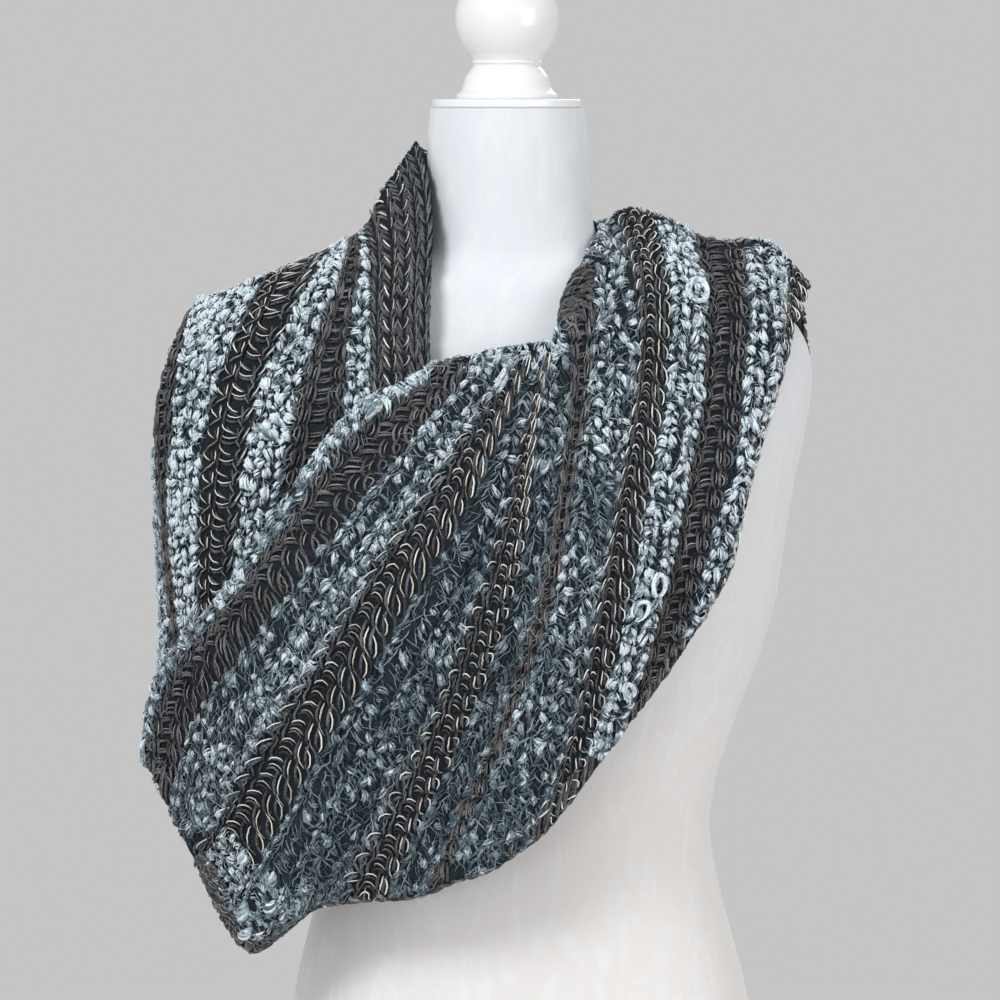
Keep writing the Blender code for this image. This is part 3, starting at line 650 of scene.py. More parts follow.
def refine(grid: Array, factor: int) -> Array:
    """Refine a grid of vectors along both axes with smooth curves.

    Args:
        grid: Rows by columns by 3.
        factor: Steps for each of its steps.

    Returns:
        The finer grid.
    """
    for axis in (0, 1):
        lines = np.moveaxis(grid, axis, 0)
        count = lines.shape[0]
        at = np.arange((count - 1) * factor + 1) / factor
        first = np.minimum(at.astype(int), count - 2)
        part = (at - first)[:, None, None]
        padded = np.concatenate((2 * lines[:1] - lines[1:2], lines, 2 * lines[-1:] - lines[-2:-1]))
        before, start, end, after = (padded[first + step] for step in range(4))
        fine = 0.5 * (2 * start + (end - before) * part
                      + (2 * before - 5 * start + 4 * end - after) * part ** 2
                      + (3 * start - before - 3 * end + after) * part ** 3)
        grid = np.moveaxis(fine, 0, axis)
    return grid


# --- the draped cloth

def loft(lines: list, steps: Sequence[int]) -> list:
    """Lay a smooth surface through lines of equally many places.

    Args:
        lines: The lines.
        steps: Each stretch's steps.

    Returns:
        Rows of places.
    """
    rows = []
    for count in counts_through(steps):
        section = [on_curve(line, count) for line in lines]
        rows.append([on_curve(section, across)
                     for across in counts_through((ACROSS_STEPS,) * (len(lines) - 1))])
    return rows


class Cloth:
    """A grid of places on the middle of the wall, and the wall's direction at each one."""

    def __init__(self, places: list) -> None:
        """Take rows of places."""
        self.places = places
        self.walls = [[None] * len(places[0]) for _ in places]

    def settle(self, form: BVHTree, first_row: int = 0) -> None:
        """Lift the places that lie too near the form until the wall just rests on it.

        Args:
            form: The torso's surface.
            first_row: The row to start at.
        """
        least = WALL / 2 + REST_GAP
        for row in self.places[first_row:]:
            for column, place in enumerate(row):
                near, outward, _, _ = form.find_nearest(place)
                apart = (place - near).dot(outward)
                excess = (apart - least) / SETTLE_SOFTNESS
                if excess < 4:
                    eased = SETTLE_SOFTNESS * math.log1p(math.exp(excess))
                    row[column] = place + outward * (least + eased - apart)

    def find_walls(self) -> None:
        """Set the wall's direction from the neighbours along and across the cloth."""
        last_row, last_column = len(self.places) - 1, len(self.places[0]) - 1
        for row, line in enumerate(self.places):
            above, below = self.places[max(row - 1, 0)], self.places[min(row + 1, last_row)]
            for column in range(last_column + 1):
                across = line[min(column + 1, last_column)] - line[max(column - 1, 0)]
                along = below[column] - above[column]
                self.walls[row][column] = along.cross(across).normalized()

    def turn_hem(self) -> None:
        """Turn the last row under, round the hem's radius, and run it back inside."""
        ends = [(end, wall, (end - before).normalized()) for end, before, wall
                in zip(self.places[-1], self.places[-2], self.walls[-1])]
        for angle in map(math.radians, (45, 90, 135, 180)):
            self.places.append([
                end + wall * HEM_RADIUS * (math.cos(angle) - 1) + way * HEM_RADIUS * math.sin(angle)
                for end, wall, way in ends])
            self.walls.append([wall * math.cos(angle) + way * math.sin(angle)
                               for _, wall, way in ends])
        self.places.append([place - way * HEM_RETURN
                            for place, (_, _, way) in zip(self.places[-1], ends)])
        self.walls.append(list(self.walls[-1]))

    def leaving(self, row: int, row_inside: int) -> list[Vector]:
        """Find the directions that leave the cloth square to an end row.

        Args:
            row: The end row.
            row_inside: The row next to it.

        Returns:
            One for each column.
        """
        line, last = self.places[row], len(self.places[row]) - 1
        ways = []
        for column, (place, wall) in enumerate(zip(line, self.walls[row])):
            aside = line[min(column + 1, last)] - line[max(column - 1, 0)]
            way = aside.cross(wall).normalized()
            outward = place - self.places[row_inside][column]
            ways.append(way if way.dot(outward) > 0 else -way)
        return ways

    def seam_end(self, columns: Sequence[int]) -> tuple[list, list]:
        """Find where another stretch meets the first row.

        Args:
            columns: The columns wanted.

        Returns:
            Places past the seam gap, and the walls there.
        """
        ways = self.leaving(0, 1)
        places = [self.places[0][column] + ways[column] * SEAM_GAP for column in columns]
        return places, [self.walls[0][column] for column in columns]

    def curl_rim(self) -> None:
        """Curl the first column under, least at its ends."""
        opens, closes = sum(FRONT_STEPS[:2]), sum(FRONT_STEPS)
        for row, (line, walls) in enumerate(zip(self.places, self.walls)):
            share = min(max((row - opens) / 5, 0), max((closes - row) / 4, 0), 1)
            curl = RIM_CURL_LEAST + (RIM_CURL - RIM_CURL_LEAST) * share
            edge, wall = line[0], walls[0]
            outward = (edge - line[1]).normalized()
            outward = (outward - wall * outward.dot(wall)).normalized()
            for part in range(1, RIM_COLUMNS + 1):
                angle = curl * part / RIM_COLUMNS
                line.insert(0, edge + wall * RIM_RADIUS * (math.cos(angle) - 1)
                            + outward * RIM_RADIUS * math.sin(angle))
                walls.insert(0, wall * math.cos(angle) + outward * math.sin(angle))


@dataclass
class Draping:
    """Drapes the three stretches of the loop on the form, as the solids have them."""

    form: BVHTree

    def front_line(self, line: FrontLine) -> list[Vector]:
        """Place one drawn line of the front stretch.

        Args:
            line: The line.

        Returns:
            Places behind its top, at it and down its fall.
        """
        across, height, depth = line.top
        leads_across, leads_height = line.fall[0][0] - across, line.fall[0][1] - height
        length = math.hypot(leads_across, leads_height)
        places = []
        for run, drop, aside in ((*line.behind, -line.aside / 3), (0, 0, 0),
                                 (-line.before[0], line.before[1], line.aside)):
            places.append(sighted(across + leads_across * drop / length + aside,
                                  height + leads_height * drop / length, depth + run))
        for level, place in enumerate(line.fall):
            lift = np.interp(level / (len(line.fall) - 1), (0, 0.5, 1), line.lift)
            places.append(sighted(*place, layer_depth(OUTER_LAYER, *place, lift)))
        return places

    def front(self) -> Cloth:
        """Shape the front stretch, with its turned hem.

        Returns:
            The stretch, its rim not yet curled.
        """
        cloth = Cloth(loft([self.front_line(line) for line in FRONT_LINES], FRONT_STEPS))
        cloth.settle(self.form)
        cloth.find_walls()
        cloth.turn_hem()
        cloth.settle(self.form, first_row=-1)
        return cloth

    def left(self, front: Cloth) -> Cloth:
        """Shape the left stretch, whose foot meets the front stretch's turned hem.

        Args:
            front: The front stretch, before its rim is curled.

        Returns:
            The left stretch.
        """
        ways = front.leaving(-1, -2)
        foot = [place + way * SEAM_GAP for place, way in zip(front.places[-1], ways)]
        lines = []
        for number, places in enumerate(LEFT_LINES):
            column = number * ACROSS_STEPS
            upward = (front.places[-1][column] - front.places[-2][column]).normalized()
            line = [sighted(*place) if len(place) == 3
                    else sighted(*place, layer_depth(INNER_LAYER, *place)) for place in places]
            lines.append(line + [foot[column] + upward * LEFT_LEAD, foot[column]])
        cloth = Cloth(loft(lines, LEFT_STEPS))
        cloth.settle(self.form)
        columns = len(cloth.places[0])
        cloth.places[-1] = foot[:columns]
        cloth.find_walls()
        cloth.walls[-1] = [-wall for wall in front.walls[-1][:columns]]
        return cloth

    def back(self, left: Cloth, front: Cloth) -> Cloth:
        """Shape the back stretch between the left seam and the right one.

        Args:
            left: The left stretch.
            front: The front stretch, before its rim is curled.

        Returns:
            The back stretch.
        """
        columns = len(left.places[0])
        starts, start_walls = left.seam_end(range(columns - 1, -1, -1))
        ends, end_walls = front.seam_end(range(SEAM_LINE * ACROSS_STEPS, len(front.places[0])))
        spare, last, corner = columns - len(ends), ends[-1], sighted(*BACK_CORNER)
        for step in range(1, spare + 1):
            ends.append(last.lerp(corner, step / spare))
            end_walls.append(end_walls[-1])
        lines = [[sighted(*place) for place in places] for places in BACK_LINES]
        rows = [[] for _ in range(sum(BACK_STEPS) + 1)]
        for column in range(columns):
            count = (len(lines) - 1) * column / (columns - 1)
            middle = [on_curve([line[place] for line in lines], count) for place in range(5)]
            strand = [starts[column]] + middle + [ends[column]]
            for row, along in enumerate(counts_through(BACK_STEPS)):
                rows[row].append(on_curve(strand, along))
        cloth = Cloth(rows)
        cloth.settle(self.form)
        cloth.places[0], cloth.places[-1] = starts, ends
        cloth.find_walls()
        cloth.walls[0], cloth.walls[-1] = start_walls, end_walls
        return cloth


class ClothSurface:
    """The fine middle surface of one stretch, read by row, column and height off it."""

    def __init__(self, cloth: Cloth, creases: Sequence[Crease], rim: int = 0) -> None:
        """Refine a cloth and press its creases in.

        Args:
            cloth: The draped grid.
            creases: Its creases.
            rim: Columns before drawing line 0.
        """
        self.rim = rim
        self.rows = len(cloth.places) - 1
        self.columns = len(cloth.places[0]) - 1
        self.places, walls = (
            refine(np.array([[tuple(one) for one in row] for row in grid]), REFINE)
            for grid in (cloth.places, cloth.walls))
        self.walls = unit(walls)
        self.press(creases)

    def press(self, creases: Sequence[Crease]) -> None:
        """Push the surface in or out along its creases.

        Args:
            creases: The soft troughs and ridges.
        """
        row = np.arange(self.places.shape[0])[:, None] / REFINE
        line = (np.arange(self.places.shape[1])[None, :] / REFINE - self.rim) / ACROSS_STEPS
        for crease in creases:
            (start_line, start_row), (end_line, end_row) = crease.start, crease.end
            share = (row - start_row) / (end_row - start_row)
            fade = np.clip(np.sin(np.pi * np.clip(share, 0, 1)), 0, 1) ** 0.6
            off = (line - (start_line + (end_line - start_line) * share)) / crease.spread
            push = crease.depth * fade * np.exp(-0.5 * off ** 2)
            self.places = self.places + self.walls * push[..., None]

    def at(self, rows: Array, columns: Array, heights: Array | float = 0.0) -> Array:
        """Find points on or off the surface.

        Args:
            rows: Rows of the draped grid.
            columns: Its columns.
            heights: Millimetres outside the surface.

        Returns:
            The points, with a last axis of 3.
        """
        row = np.clip(rows * REFINE, -EDGE_REACH, self.places.shape[0] - 1 + EDGE_REACH)
        column = np.clip(columns * REFINE, -EDGE_REACH, self.places.shape[1] - 1 + EDGE_REACH)
        above = np.clip(np.floor(row), 0, self.places.shape[0] - 2).astype(int)
        before = np.clip(np.floor(column), 0, self.places.shape[1] - 2).astype(int)
        down, on = (row - above)[..., None], (column - before)[..., None]

        def blended(grid: Array) -> Array:
            """Blend the four corners round each point.

            Args:
                grid: The corners.

            Returns:
                The blends.
            """
            upper = grid[above, before] * (1 - on) + grid[above, before + 1] * on
            lower = grid[above + 1, before] * (1 - on) + grid[above + 1, before + 1] * on
            return upper * (1 - down) + lower * down

        return blended(self.places) + blended(self.walls) * np.asarray(heights)[..., None]

    def column_of(self, line: Array) -> Array:
        """Turn drawing lines into columns of the grid."""
        return self.rim + np.asarray(line) * ACROSS_STEPS

    def slopes(self, rows: Array, columns: Array) -> tuple[Array, Array]:
        """Find the vectors of one row along and one column across at points.

        Args:
            rows: The points' rows.
            columns: Their columns.

        Returns:
            Both in millimetres.
        """
        step = 0.4
        row = np.clip(rows, step, self.rows - step)
        column = np.clip(columns, step, self.columns - step)
        along = self.at(row + step, column) - self.at(row - step, column)
        across = self.at(row, column + step) - self.at(row, column - step)
        return along / (2 * step), across / (2 * step)

    def nearest(self, across: float, height: float) -> tuple[float, float]:
        """Find what a place of the front drawing shows.

        Args:
            across: The place.
            height: Its height.

        Returns:
            Row and column.
        """
        scale = 1 + self.places[..., 1] / EYE_DISTANCE
        off_across = self.places[..., 0] / scale - across
        off_height = EYE_HEIGHT + (self.places[..., 2] - EYE_HEIGHT) / scale - height
        off = off_across ** 2 + off_height ** 2 + (self.walls[..., 1] > 0) * 1e6
        row, column = np.unravel_index(int(np.argmin(off)), off.shape)
        return row / REFINE, column / REFINE

    def search_tree(self) -> BVHTree:
        """Build a search tree of the surface.

        Returns:
            The tree, for what it hides.
        """
        rows, columns = self.places.shape[:2]
        corners = [tuple(place) for place in self.places.reshape(-1, 3)]
        faces = [(corner, corner + 1, corner + columns + 1, corner + columns)
                 for row in range(rows - 1)
                 for corner in range(row * columns, (row + 1) * columns - 1)]
        return BVHTree.FromPolygons(corners, faces)


@dataclass
class Stitches:
    """The middles of like stitches on a surface, and how their drawings are laid there.

    upright says how far they swing from the band's own direction to straight down, 0 to 1.
    """

    surface: ClothSurface
    rows: Array
    columns: Array
    upright: float = 0.0
    turned: bool = False

    def __post_init__(self) -> None:
        """Work out the local directions once."""
        along, across = self.surface.slopes(self.rows, self.columns)
        self.row_mm = np.maximum(np.linalg.norm(along, axis=-1), 1.0)
        self.across_mm = np.linalg.norm(across, axis=-1)
        ways = unit(along)
        self.slant = np.sum(across * ways, axis=-1)
        self.square_mm = np.sqrt(np.maximum(np.sum(across ** 2, axis=-1) - self.slant ** 2, 0.3))
        sides = unit(across - ways * self.slant[..., None])
        falls = -ways[..., 2]
        swing = np.arctan2(-sides[..., 2], np.maximum(falls, 0.05))
        hangs = np.clip((falls - 0.1) / 0.4, 0, 1)
        self.swing = np.clip(self.upright * swing * hangs, -0.9, 0.9)

    def only(self, keep: Array, **changes: object) -> "Stitches":
        """Keep only some of the stitches, perhaps with changes."""
        return replace(self, rows=self.rows[keep], columns=self.columns[keep], **changes)

    def course_slip(self, columns: Array) -> Array:
        """Find how many rows a course of stitches runs along over some columns across."""
        drift = self.slant + self.square_mm * np.tan(self.swing)
        return np.clip(-columns * drift / self.row_mm, -ROW_REACH, ROW_REACH)

    def lay(self, aside: Array, along: Array, height: Array | float) -> Array:
        """Lay drawings on the surface, stitches by points, in millimetres.

        Args:
            aside: Aside of each middle.
            along: Along the stitch from it.
            height: Off the surface.

        Returns:
            The points, with a last axis of 3.
        """
        sign = -1.0 if self.turned else 1.0
        shape = (len(self.rows), np.shape(along)[-1])
        aside = sign * np.broadcast_to(aside, shape)
        along = sign * np.broadcast_to(along, shape)
        swing, slant, square_mm, row_mm, row, column = (
            part[:, None] for part in (self.swing, self.slant, self.square_mm, self.row_mm,
                                       self.rows, self.columns))
        sideways = aside * np.cos(swing) + along * np.sin(swing)
        onward = along * np.cos(swing) - aside * np.sin(swing)
        columns = np.clip(sideways / square_mm, -COLUMN_REACH, COLUMN_REACH)
        rows = np.clip((onward - slant * columns) / row_mm, -ROW_REACH, ROW_REACH)
        return self.surface.at(row + rows, column + columns, np.broadcast_to(height, shape))

    def walls(self) -> Array:
        """Return the wall's direction at each stitch."""
        return (self.surface.at(self.rows, self.columns, 1.0)
                - self.surface.at(self.rows, self.columns))


# --- strands

def dress(name: str, mesh: bpy.types.Mesh, material: Material) -> Object:
    """File a mesh as a piece of the part.

    Args:
        name: The piece's name.
        mesh: Its mesh, in metres.
        material: Its finish.

    Returns:
        The piece.
    """
    made = bpy.data.objects.new(name, mesh)
    bpy.context.scene.collection.objects.link(made)
    mesh.materials.append(material)
    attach(made, "root")
    return made


def settled(name: str, mesh: bmesh.types.BMesh) -> bpy.types.Mesh:
    """Finish a mesh that is being made, smooth, and free it.

    Args:
        name: Its name.
        mesh: The mesh.

    Returns:
        The finished one.
    """
    data = bpy.data.meshes.new(name)
    mesh.to_mesh(data)
    mesh.free()
    data.shade_smooth()
    return data


def mark(mesh: bpy.types.Mesh, name: str, values: Array) -> None:
    """Give each corner point of a mesh a value that its material reads."""
    attribute = mesh.attributes.new(name, "FLOAT", "POINT")
    attribute.data.foreach_set("value", values.astype(np.float32))


class Strands:
    """Gathers round strands of yarn and joins them in one mesh."""

    def __init__(self, name: str) -> None:
        """Start an empty piece."""
        self.name = name
        self.parts: dict[str, list[Array]] = {
            part: [] for part in ("points", "corners", "sizes", "wraps", "shade", "tint")}
        self.count = 0

    def gather(self, **parts: Array) -> None:
        """Put arrays with the others of their kind."""
        for name, values in parts.items():
            self.parts[name].append(values)

    def add(self, lines: Array, radii: Array, walls: Array, shades: Array,
            tints: Array | float, sides: int = 3) -> None:
        """Add like strands.

        Args:
            lines: Strands by points by 3, in millimetres.
            radii: Radii that fit strands by points.
            walls: The cloth's outward direction at each strand.
            shades: Lightness, 0 to 1, that fits them.
            tints: Warmth, 0 to 1, that fits them.
            sides: Faces round a strand.
        """
        strands, steps, _ = lines.shape
        if strands == 0:
            return
        radii = np.broadcast_to(radii, (strands, steps))
        ways = unit(np.gradient(lines, axis=1))
        aside = unit(np.cross(ways, walls[:, None, :]))[:, :, None]
        upward = np.cross(aside, ways[:, :, None])
        angles = (2 * np.pi * np.arange(sides) / sides - np.pi / 2)[:, None]
        rings = aside * np.cos(angles) + upward * np.sin(angles)
        rings = lines[:, :, None, :] + rings * radii[:, :, None, None]
        lengths = np.linalg.norm(np.diff(lines, axis=1), axis=-1)
        run = np.concatenate([np.zeros((strands, 1)), np.cumsum(lengths, axis=1)], axis=1)
        first = self.count + np.arange(strands)[:, None, None] * steps * sides
        step, side = np.meshgrid(np.arange(steps - 1), np.arange(sides), indexing="ij")
        after = (side + 1) % sides
        quads = np.stack([step * sides + side, (step + 1) * sides + side,
                          (step + 1) * sides + after, step * sides + after], axis=-1)
        ends = np.stack([np.arange(sides), (steps - 1) * sides + np.arange(sides)[::-1]])
        wrap = np.stack([side, side, side + 1, side + 1], -1) / sides
        runs = np.stack([run[:, step], run[:, step + 1], run[:, step + 1], run[:, step]], -1)
        wraps = np.stack([np.broadcast_to(wrap, runs.shape), runs], axis=-1)
        self.gather(points=rings.reshape(-1, 3), corners=(first[..., None] + quads).ravel(),
                    sizes=np.full(strands * (steps - 1) * sides, 4), wraps=wraps.reshape(-1, 2))
        self.gather(corners=(first + ends).ravel(), sizes=np.full(strands * 2, sides),
                    wraps=np.zeros((strands * 2 * sides, 2)),
                    shade=np.repeat(np.broadcast_to(shades, (strands, steps)), sides),
                    tint=np.repeat(np.broadcast_to(tints, (strands, steps)), sides))
        self.count += strands * steps * sides

    def triangles(self) -> int:
        """Count the triangles gathered so far."""
        return int(sum(np.sum(sizes - 2) for sizes in self.parts["sizes"]))

    def to_object(self, material: Material, material_slot: str) -> Object:
        """Join the strands in one mesh and dress it.

        Args:
            material: The yarn's finish.
            material_slot: Not used.

        Returns:
            The piece.
        """
        joined = {name: np.concatenate(values) for name, values in self.parts.items()}
        sizes, corners = joined["sizes"], joined["corners"]
        mesh = bpy.data.meshes.new(self.name)
        mesh.vertices.add(self.count)
        mesh.vertices.foreach_set("co", (joined["points"] * MM).astype(np.float32).ravel())
        mesh.loops.add(len(corners))
        mesh.loops.foreach_set("vertex_index", corners.astype(np.int32))
        mesh.polygons.add(len(sizes))
        starts = np.concatenate([[0], np.cumsum(sizes)[:-1]])
        mesh.polygons.foreach_set("loop_start", starts.astype(np.int32))
        mesh.update(calc_edges=True)
        layer = mesh.uv_layers.new(name="yarn")
        layer.uv.foreach_set("vector", joined["wraps"].astype(np.float32).ravel())
        for name in ("shade", "tint"):
            mark(mesh, name, joined[name])
        mesh.validate()
        mesh.shade_smooth()
        return dress(self.name, mesh, material)


# --- finishes

Socket = bpy.types.NodeSocket


def opaque(colour: Colour) -> tuple[float, float, float, float]:
    """Give a colour its alpha."""
    return (*colour, 1.0)


class NodeSketch:
    """Adds nodes to a tree in few words."""

    def __init__(self, tree: bpy.types.NodeTree) -> None:
        """Take the tree to add to."""
        self.tree = tree

    def wire(self, node: bpy.types.Node, inputs: dict) -> None:
        """Set a node's inputs.

        Args:
            node: The node.
            inputs: Values or output sockets by input name or number.
        """
        for key, value in inputs.items():
            if isinstance(value, Socket):
                self.tree.links.new(value, node.inputs[key])
            else:
                node.inputs[key].default_value = value

    def add(self, kind: str, inputs: dict | None = None, out: int | str = 0,
            **settings: object) -> Socket:
        """Add a node.

        Args:
            kind: Its type, without ShaderNode.
            inputs: As for wire.
            out: The output wanted.
            settings: Its own properties.

        Returns:
            That output.
        """
        node = self.tree.nodes.new("ShaderNode" + kind)
        for key, value in settings.items():
            setattr(node, key, value)
        self.wire(node, inputs or {})
        return node.outputs[out]

    def math(self, operation: str, first: object, second: object = 0.0) -> Socket:
        """Add a Math node and return its output."""
        return self.add("Math", {0: first, 1: second}, operation=operation)

    def mix(self, factor: object, first: object, second: object, blend: str = "MIX") -> Socket:
        """Mix two colours.

        Args:
            factor: The second one's share.
            first: The first one.
            second: The second one.
            blend: How they mix.

        Returns:
            The output.
        """
        first, second = (part if isinstance(part, Socket) else opaque(part)
                         for part in (first, second))
        return self.add("Mix", {0: factor, 6: first, 7: second}, 2, data_type="RGBA",
                        blend_type=blend)


class MaterialSketch(NodeSketch):
    """A new material with its one shader."""

    def __init__(self, name: str) -> None:
        """Start the material."""
        self.material = bpy.data.materials.new(name)
        self.material.use_nodes = True
        super().__init__(self.material.node_tree)
        self.shader = self.tree.nodes["Principled BSDF"]

    def finish(self, colour: object, roughness: object, bump: tuple = (),
               **more: float) -> Material:
        """Wire the shader.

        Args:
            colour: Its base colour.
            roughness: Its roughness.
            bump: Strength, millimetres and the height's socket.
            more: Other inputs, with _ for a space.

        Returns:
            The material.
        """
        if bump:
            strength, distance, height = bump
            more["Normal"] = self.add("Bump", {"Strength": strength, "Distance": distance * MM,
                                               "Height": height})
        self.wire(self.shader, {"Base Color": colour, "Roughness": roughness})
        self.wire(self.shader, {name.replace("_", " "): value for name, value in more.items()})
        return self.material


def yarn_fibres() -> bpy.types.NodeTree:
    """Build the shared effect of fibres that run along a yarn and twist about it.

    Returns:
        A group with the inputs Fibres, Twist, Contrast and Shade, and the outputs Light
        and Height.
    """
    tree = bpy.data.node_groups.get("yarn_fibres")
    if tree is not None:
        return tree
    tree = bpy.data.node_groups.new("yarn_fibres", "ShaderNodeTree")
    sockets = {"Fibres": 6.0, "Twist": 0.1, "Contrast": 1.5, "Shade": 0.5}
    for name, value in sockets.items():
        socket = tree.interface.new_socket(name, in_out="INPUT", socket_type="NodeSocketFloat")
        socket.default_value = value
    for name in ("Light", "Height"):
        tree.interface.new_socket(name, in_out="OUTPUT", socket_type="NodeSocketFloat")
    sketch = NodeSketch(tree)
    given = tree.nodes.new("NodeGroupInput").outputs
    parts = sketch.add("SeparateXYZ", {0: sketch.add("UVMap", uv_map="yarn")}).node.outputs
    turned = sketch.math("MULTIPLY", parts[1], given["Twist"])
    across = sketch.math("MULTIPLY", sketch.math("ADD", parts[0], turned), given["Fibres"])
    along = sketch.math("MULTIPLY", parts[1], 0.22)
    shift = sketch.math("MULTIPLY", given["Shade"], 53.0)
    vector = sketch.add("CombineXYZ", {0: across, 1: along, 2: shift})
    fibre = sketch.add("TexNoise", {"Vector": vector, "Scale": 1.0, "Detail": 3.0,
                                    "Roughness": 0.62})
    lifted = sketch.math("SUBTRACT", fibre, 0.5)
    strong = sketch.math("MULTIPLY", lifted, given["Contrast"])
    light = sketch.math("ADD", strong, given["Shade"])
    sketch.wire(tree.nodes.new("NodeGroupOutput"), {"Light": light, "Height": fibre})
    return tree


@dataclass(frozen=True)
class YarnFinish:
    """A yarn: its colour from shadow to light, cool and warm, and how it shines."""

    name: str
    deep: Colour
    body: Colour
    light: Colour
    warm: Colour
    roughness: float
    gleam: float
    sheen: float
    fibres: float
    twist: float
    contrast: float
    relief: float

    def material(self) -> Material:
        """Build the material, which reads the strands' shade and tint.

        Returns:
            The material.
        """
        sketch = MaterialSketch(self.name)
        shade, tint = (sketch.add("Attribute", out="Fac", attribute_name=name)
                       for name in ("shade", "tint"))
        fibres = sketch.add("Group", node_tree=yarn_fibres()).node
        sketch.wire(fibres, {"Fibres": self.fibres, "Twist": self.twist,
                             "Contrast": self.contrast, "Shade": shade})
        ramp = sketch.add("ValToRGB", {0: fibres.outputs["Light"]})
        stops = ramp.node.color_ramp.elements
        stops[0].position, stops[0].color = 0.0, opaque(self.deep)
        stops[1].position, stops[1].color = 1.0, opaque(self.light)
        stops.new(0.5).color = opaque(self.body)
        return sketch.finish(sketch.mix(tint, ramp, self.warm, "MULTIPLY"), self.roughness,
                             (0.6, self.relief, fibres.outputs["Height"]),
                             Specular_IOR_Level=self.gleam, Sheen_Weight=self.sheen,
                             Sheen_Roughness=0.4)


SLUB = YarnFinish("slub_yarn", (0.035, 0.065, 0.085), (0.26, 0.335, 0.38),
                  (0.81, 0.925, 0.985), (0.92, 0.86, 0.86), 0.8, 0.2, 0.2, 4.0, 0.05, 2.2, 0.4)
NAVY = YarnFinish("navy_yarn", (0.010, 0.018, 0.026), (0.052, 0.080, 0.098),
                  (0.24, 0.31, 0.345), (1.0, 0.85, 0.80), 0.85, 0.10, 0.12, 6.0, 0.22, 1.8, 0.3)
CHARCOAL = YarnFinish("charcoal_yarn", (0.010, 0.012, 0.016), (0.066, 0.074, 0.090),
                      (0.22, 0.24, 0.275), (1.0, 0.90, 0.82), 0.85, 0.10, 0.12, 5.0, 0.25,
                      1.9, 0.3)
IVORY = YarnFinish("ivory_thread", (0.10, 0.092, 0.078), (0.47, 0.45, 0.40),
                   (0.98, 0.97, 0.93), (0.90, 0.84, 0.74), 0.36, 0.5, 0.0, 3.0, 0.45, 1.2, 0.15)
BROWN = YarnFinish("brown_thread", (0.022, 0.021, 0.022), (0.160, 0.150, 0.136),
                   (0.52, 0.495, 0.46), (0.98, 0.82, 0.70), 0.6, 0.3, 0.1, 4.0, 0.35, 1.4, 0.2)


@dataclass(frozen=True)
class GroundFinish:
    """The dark cloth behind the yarns: charcoal in the ladders, navy under the tufts."""

    name: str = "ground_knit"
    charcoal: Colour = (0.015, 0.017, 0.021)
    navy: Colour = (0.022, 0.034, 0.042)
    brown: Colour = (0.024, 0.024, 0.027)
    # The colour of painted shade in the gaps between the knit's loops.
    gap_shade: Colour = (0.003, 0.003, 0.004)
    lint: Colour = (0.060, 0.078, 0.090)

    def material(self) -> Material:
        """Build the material, which reads the cloth's own map and stripe attributes.

        Returns:
            The material.
        """
        sketch = MaterialSketch(self.name)
        pale, brown = (sketch.add("Attribute", out="Fac", attribute_name=name)
                       for name in ("tufted", "brown"))
        place = sketch.add("UVMap", uv_map="knit")
        loops = sketch.add("TexVoronoi", {"Vector": place, "Scale": 2.6, "Randomness": 0.55},
                           "Distance")
        fibre = sketch.add("TexNoise", {"Vector": place, "Scale": 9.0, "Detail": 4.0})
        base = sketch.mix(brown, self.charcoal, self.brown)
        base = sketch.mix(pale, base, self.navy)
        # Painted shade darkens the gaps between the loops.
        base = sketch.mix(sketch.math("MULTIPLY", loops, 1.1), base, self.gap_shade)
        base = sketch.mix(sketch.math("MULTIPLY", fibre, 0.3), base, self.lint)
        return sketch.finish(base, 0.9, (0.9, 1.2, sketch.math("SUBTRACT", fibre, loops)),
                             Specular_IOR_Level=0.08)


# Its fifth colour is the painted shade in the gaps between the loops.
REVERSE_SIDE = GroundFinish("reverse_knit", (0.045, 0.047, 0.055), (0.115, 0.150, 0.172),
                            (0.070, 0.064, 0.060), (0.010, 0.012, 0.015), (0.34, 0.40, 0.43))


@dataclass(frozen=True)
class VelvetFinish:
    """White crushed velvet with soft nap marks that run down the form; the marks are lighter by a
    painted sheen, and the cover turns warmer low down by a painted reflection.
    """

    name: str = "crushed_velvet"
    cool: Colour = (0.715, 0.745, 0.785)
    # warm: the colour of a painted reflection that warms the cover low down.
    warm: Colour = (0.745, 0.722, 0.708)
    # The colour of a painted sheen on the nap marks.
    nap_sheen_colour: Colour = (0.80, 0.80, 0.80)

    def material(self) -> Material:
        """Build the material from the place on the form.

        Returns:
            The material.
        """
        sketch = MaterialSketch(self.name)
        place = sketch.add("TexCoord", out="Object")
        drawn = sketch.add("Mapping", {"Vector": place, "Scale": (1.0, 1.0, 0.38)})
        marks = sketch.add("TexNoise", {"Vector": drawn, "Scale": 55.0, "Detail": 5.0,
                                        "Roughness": 0.6, "Distortion": 1.4})
        nap = sketch.add("TexNoise", {"Vector": place, "Scale": 900.0, "Detail": 2.0})
        height = sketch.add("SeparateXYZ", {0: place}, 2)
        # Painted reflection: the cover turns from cool to warm between 0.6 m and 0.3 m.
        low = sketch.add("MapRange", {"Value": height, "From Min": 0.60, "From Max": 0.30})
        base = sketch.mix(low, self.cool, self.warm)
        # The nap marks' crush pattern is the velvet's own; their lighter colour is a painted sheen.
        painted_nap_sheen = sketch.add("MapRange", {"Value": marks, "From Min": 0.46, "From Max": 0.66})
        base = sketch.mix(sketch.math("MULTIPLY", painted_nap_sheen, 0.6), base, self.nap_sheen_colour)
        relief = sketch.math("ADD", sketch.math("MULTIPLY", marks, 3.0),
                             sketch.math("MULTIPLY", nap, 0.5))
        return sketch.finish(base, 0.62, (0.25, 0.5, relief), Sheen_Weight=0.25,
                             Sheen_Roughness=0.35)


